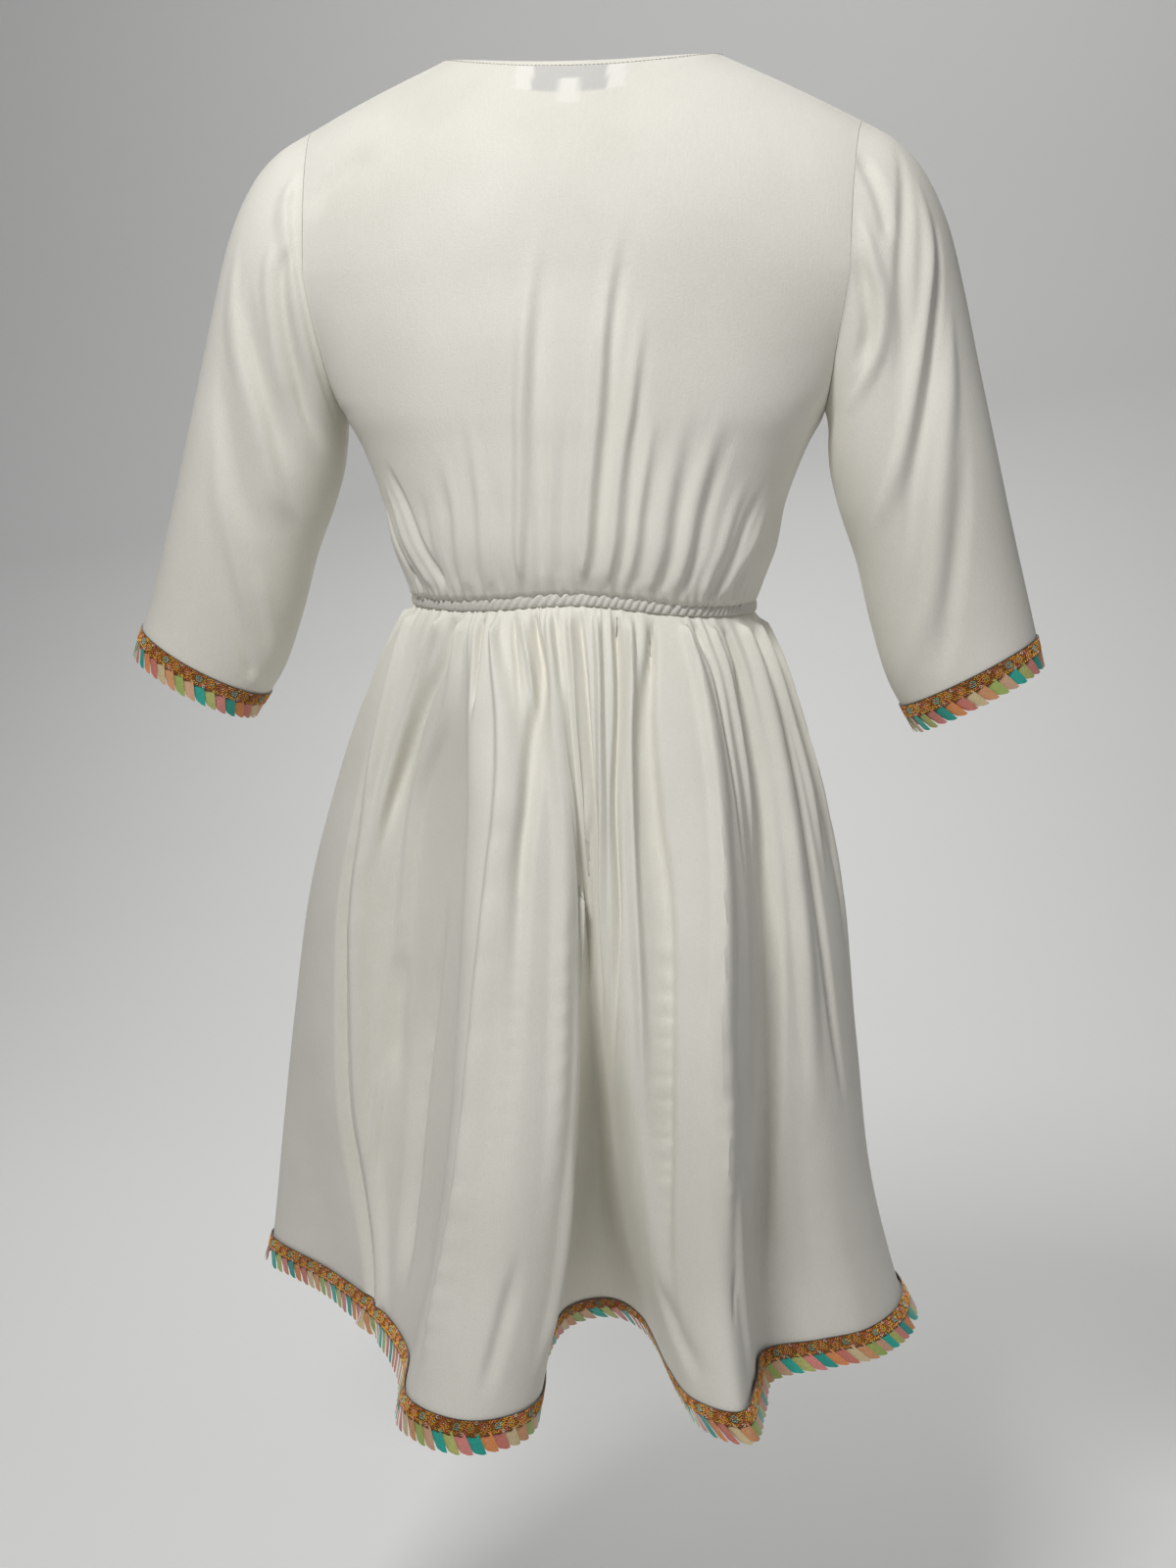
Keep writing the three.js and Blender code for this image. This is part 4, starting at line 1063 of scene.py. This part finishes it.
def tube_lines(lines):
    """Closed three-sided threads along flat lines of (s, h) with a thickness and a colour."""
    points, faces, colours = [], [], []
    start = 0
    for path, thick, colour in lines:
        path = np.asarray(path, float)
        way = unit(np.gradient(path, axis=0))
        side = np.stack([-way[:, 1], way[:, 0]], -1) * thick / 2
        left, ridge, right = (
            np.concatenate([line, np.full((len(path), 1), high)], -1)
            for line, high in ((path + side, 0), (path, thick), (path - side, 0))
        )
        points.append(np.stack([left, ridge, right], 1).reshape(-1, 3))
        colours.append(dyed(colour, 3 * len(path)))
        for i in range(len(path) - 1):
            a = start + 3 * i
            for k in range(3):
                n = (k + 1) % 3
                faces.append((a + k, a + n, a + 3 + n, a + 3 + k))
        end = start + 3 * (len(path) - 1)
        faces += [(start, start + 2, start + 1), (end, end + 1, end + 2)]
        start = end + 3
    return np.concatenate(points), faces, np.concatenate(colours)


# The pale threads are painted highlights on the embroidery, not a yarn colour of their own.
GOLD, DEEP_GOLD, CORAL, MINT, PALE_HIGHLIGHT = "#FFC145", "#C97F22", "#F08C6E", "#9FE3CD", "#FFEFC8"


def arc(centre, radius, start, end, count):
    angle = np.radians(np.linspace(start, end, count))
    return [(centre[0] + radius * math.cos(a), centre[1] + radius * math.sin(a)) for a in angle]


def flower(centre, size, petals, colour, heart):
    """A flower of looped chain stitches."""
    lines = []
    for i in range(petals):
        turn = 360 / petals * i + 15
        aim = math.radians(turn)
        middle = (centre[0] + size * 0.55 * math.cos(aim), centre[1] + size * 0.55 * math.sin(aim))
        lines.append((arc(middle, size * 0.36, turn - 150, turn + 150, 6), 0.75, colour))
    lines.append((arc(centre, size * 0.16, 0, 300, 4), 0.8, heart))
    return lines


LACE_REPEAT = 27.0
LACE_THICK = 0.5
LACE_HEIGHTS = (-0.8, 0.6, 3.4, 6.4, 9.0, 10.2)
SCALLOP, SCALLOP_PITCH = 0.5, 3.0  # of the lace's lower edge
THREADS_OUT = 0.62
CORD_HEIGHT = 10.1
CORD_RING = ((0.0, 0.6), (-0.3, 0.95), (0.0, 1.3), (0.3, 0.95))  # up from CORD_HEIGHT, and out


def lace_unit():
    """One repeat of the embroidery, on a band 10 mm high: rows of loops with three blossoms."""
    blossoms = (
        ((4.6, 5.2), 2.6, 5, MINT, CORAL),
        ((13.8, 4.6), 2.9, 6, GOLD, MINT),
        ((22.4, 5.4), 2.6, 5, CORAL, PALE_HIGHLIGHT),
    )
    lines = []
    for blossom in blossoms:
        lines += flower(*blossom)
    # Some loops are pale: painted highlights.
    loop_colours = (GOLD, CORAL, DEEP_GOLD, GOLD, PALE_HIGHLIGHT, DEEP_GOLD, GOLD, CORAL)
    for row, h in enumerate((1.1, 3.4, 5.7, 8.2)):
        for i in range(12):
            x = (i + 0.5 * (row % 2) + rng.uniform(-0.12, 0.12)) * LACE_REPEAT / 12
            if any(math.hypot(x - c[0], h - c[1]) < size * 0.85 for c, size, *_ in blossoms):
                continue
            turn = rng.uniform(0, 360)
            colour = loop_colours[(3 * i + 5 * row) % len(loop_colours)]
            lines.append((arc((x, h + rng.uniform(-0.3, 0.3)), 0.95, turn, turn + 290, 6), 0.8, colour))
    return lines


def lace(name, edge):
    """The embroidered band, and its raised threads with the cord along its upper edge."""
    repeats = round(edge.length / LACE_REPEAT)
    step = edge.length / repeats
    s, h = np.meshgrid(np.linspace(0, edge.length, round(edge.length / 2.2)), LACE_HEIGHTS)
    scallop = SCALLOP * np.cos(2 * PI * s / SCALLOP_PITCH)
    ground = edge.point(s, h + scallop * (h < 0), np.where(h < 0, 0.75, 0.7))
    band = new_object(name, ground.reshape(-1, 3), grid_faces(*s.shape), colours=dyed("#6E4420", s.size))
    add_wall(band, LACE_THICK, offset=0)
    finish_modifiers(band)

    unit_points, unit_faces, unit_colours = tube_lines(lace_unit())
    along_s, up, out = unit_points.T
    scale = step / LACE_REPEAT
    points, faces, colours = [], [], []
    for i in range(repeats):
        points.append(edge.point(i * step + along_s * scale, up, out + THREADS_OUT))
        faces += [tuple(v + i * len(unit_points) for v in face) for face in unit_faces]
        colours.append(unit_colours * (1 + 0.12 * rng.uniform(-1, 1)))
    s = np.linspace(0, edge.length, round(edge.length / 1.6))
    ring = CORD_RING + CORD_RING[:1]
    cord = np.stack([edge.point(s, np.full_like(s, CORD_HEIGHT + a), np.full_like(s, b)) for a, b in ring])
    points.append(cord.reshape(-1, 3))
    faces += (grid_faces(*cord.shape[:2]) + repeats * len(unit_points)).tolist()
    colours.append(dyed("#79827F", len(points[-1])))
    raised = new_object(name + "_threads", np.concatenate(points), faces, colours=np.concatenate(colours))
    return band, finish_modifiers(raised, 70)


for place, grid, closed in (
    ("cuff_{}_left", sleeves["left"], True),
    ("cuff_{}_right", sleeves["right"], True),
    ("hem_{}_back", skirts["back"], False),
    ("hem_{}_front", skirts["front"], False),
):
    edge = Edge(grid, closed)
    ribbon = ruffle(place.format("ruffle") + "_ribbon", edge)
    dress(ribbon, satin_ribbon, "ribbon", place.format("ruffle"))
    band, raised = lace(place.format("lace") + "_band", edge)
    dress(band, embroidery, "lace", place.format("lace"))
    dress(raised, embroidery, "lace")


# ---- Labels -----------------------------------------------------------------------------------------


TAPE_THICK = 0.6


def neck_patch(name, width, height, top, inset):
    """A flat patch inside the back neck. inset is how far inside the cloth's outer face it lies."""
    half = math.asin(min(1, width / NECK_WIDTH)) / (PI / 2) * NECK_SHARE
    share = np.linspace(0, 1, 400)
    columns = []
    for across in half * np.linspace(1, -1, 24):
        line = upper_bodice(1, np.full_like(share, across), share)
        run = np.linalg.norm(line - line[-1], axis=-1)
        wanted = top + height * np.linspace(1, 0, 8)
        columns.append(np.stack([np.interp(-wanted, -run, line[:, i]) for i in range(3)], -1))
    grid = np.stack(columns, 1)
    grid -= normals(grid) * inset
    obj = new_object(name, grid.reshape(-1, 3), grid_faces(*grid.shape[:2]))
    add_wall(obj, TAPE_THICK)
    return finish_modifiers(obj)


label = neck_patch("neck_label_woven", LABEL["width"], LABEL["height"], LABEL["top"], inset=2.4)
dress(label, grey_label, "neck_label", "neck_label")
label.data.materials.append(white_tape)
for face in label.data.polygons:
    face.material_index = int(abs(face.center.x) > LABEL["grey"] / 2 * MM)
tab = neck_patch("size_tab_woven", **SIZE_TAB, inset=3.5)
dress(tab, white_tape, "size_tab", "size_tab")


# ---- Stitching --------------------------------------------------------------------------------------


def stitches(name, line, out, pitch, length, thick):
    """A row of sewn stitches along a line on the cloth: four-sided, each lifted in its middle."""
    at = distance_along(line)
    points, faces = [], []
    for i in range(int(at[-1] / pitch)):
        ends = (i + 0.5) * pitch + np.array([-0.5, 0, 0.5]) * length
        middle, lift = (
            np.stack([np.interp(ends, at, values[:, k]) for k in range(3)], -1) for values in (line, out)
        )
        lift = unit(lift)
        side = unit(np.cross(middle[2] - middle[0], lift[1]))
        high = middle + lift * np.array([[0.05], [0.3], [0.05]])
        for k in range(3):
            points += [high[k] + way * thick / 2 for way in (side, lift[k], -side, -lift[k])]
        first = 12 * i
        for k in (first, first + 4):
            for c in range(4):
                n = (c + 1) % 4
                faces.append((k + c, k + n, k + 4 + n, k + 4 + c))
        faces += [(first + 3, first + 2, first + 1, first), tuple(first + 8 + c for c in range(4))]
    obj = new_object(name, points, faces, colours=dyed("#D2CFC4", len(points)))
    return dress(finish_modifiers(obj), sewing_thread, "crepe")


def neck_line(side, below):
    """The neckline a few millimetres down the cloth, with the outward normals."""
    end = NECK_SHARE * 0.97
    across, share = np.meshgrid(side * np.linspace(end, -end, 200), np.linspace(0.5, 1, 400))
    surface = upper_bodice(side, across, share)
    run = np.linalg.norm(surface - surface[-1], axis=-1)
    found = np.abs(run - below).argmin(0), np.arange(across.shape[1])
    out = normals(surface)[found]
    return surface[found] + out * 0.1, out


for name, side in (("back", 1), ("front", -1)):
    stitches(f"neck_topstitch_{name}", *neck_line(side, 4), pitch=2.8, length=2.0, thick=0.45)


# ---- Stage, light and camera ------------------------------------------------------------------------

FLOOR_LEVEL, FLOOR_FRONT, FLOOR_WIDTH = -1400, 2400, 12000
FLOOR_STEP = 250

floor, floor_tree, floor_shader = new_material("pale_studio_paper", Roughness=0.85)
paper = add_node(floor_tree, "ShaderNodeTexNoise", {"Scale": 3.0, "Detail": 2}).outputs["Fac"]
paper_tone = ramp(floor_tree, paper, 0.3, 0.7, "#ECECEA", "#F2F2F0")
floor_tree.links.new(paper_tone, floor_shader.inputs["Base Color"])
# Floor and backdrop are one sheet: level, then curving up behind the garment.
turn = np.clip((np.linspace(0, 1, 40) - 0.4) / 0.3, 0, 1) * PI / 2
turn = (turn[1:] + turn[:-1]) / 2
back = -np.concatenate([[0], np.cumsum(np.cos(turn))]) * FLOOR_STEP
lift = np.concatenate([[0], np.cumsum(np.sin(turn))]) * FLOOR_STEP
sides = np.array([[-FLOOR_WIDTH / 2], [FLOOR_WIDTH / 2]])
sweep = stack(sides, (FLOOR_FRONT + back)[None], (FLOOR_LEVEL + lift)[None])
backdrop = new_object("studio_floor", sweep.reshape(-1, 3), grid_faces(*sweep.shape[:2]))
backdrop.data.materials.append(floor)
backdrop.data.shade_smooth()


# Each soft light's place, target, side and power, in metres and watts.
LIGHTS = {
    "key_soft": ((0.38, 1.4, 1.2), (0, 0, -0.35), 0.45, 34),
    "fill_soft": ((-2.0, 1.6, 0.2), (0, 0, -0.45), 1.4, 6),
    "front_soft": ((0.4, -2.4, 1.0), (0, 0, -0.4), 1.6, 24),
    "backdrop_soft": ((0, -1.2, 1.6), (0, -3.4, -0.8), 1.6, 18),
}
for name, (place, target, side, power) in LIGHTS.items():
    data = bpy.data.lights.new(name, "AREA")
    data.size, data.energy = side, power
    lamp = add_object(name, data)
    lamp.location = place
    # A light shines along its own -Z.
    x, y, z = unit(np.array(target) - np.array(place))
    lamp.rotation_euler = (math.acos(-z), 0, -math.atan2(x, y))

world = bpy.data.worlds.new("studio")
bpy.context.scene.world = world
world.use_nodes = True
sky = world.node_tree.nodes["Background"].inputs
sky["Color"].default_value = (0.95, 0.96, 1.0, 1)
sky["Strength"].default_value = 0.1
bpy.context.scene.view_settings.view_transform = "Standard"

CAMERA_YAW = math.radians(8)
CAMERA_PITCH = math.radians(10)
CAMERA_DISTANCE = 1.45
CAMERA_HEIGHT = -0.25
SENSOR_HEIGHT = 36
FOCAL_LENGTH = 2052 / 1600  # in sensor heights

view = bpy.data.cameras.new("view")
view.sensor_fit = "VERTICAL"
view.sensor_height = SENSOR_HEIGHT
view.lens = FOCAL_LENGTH * SENSOR_HEIGHT
view.shift_x = 0.003
camera = add_object("view", view)
camera.location = (
    -CAMERA_DISTANCE * math.sin(CAMERA_YAW),
    CAMERA_DISTANCE * math.cos(CAMERA_YAW),
    CAMERA_HEIGHT,
)
camera.rotation_euler = (PI / 2 - CAMERA_PITCH, 0, PI + CAMERA_YAW)
bpy.context.scene.camera = camera
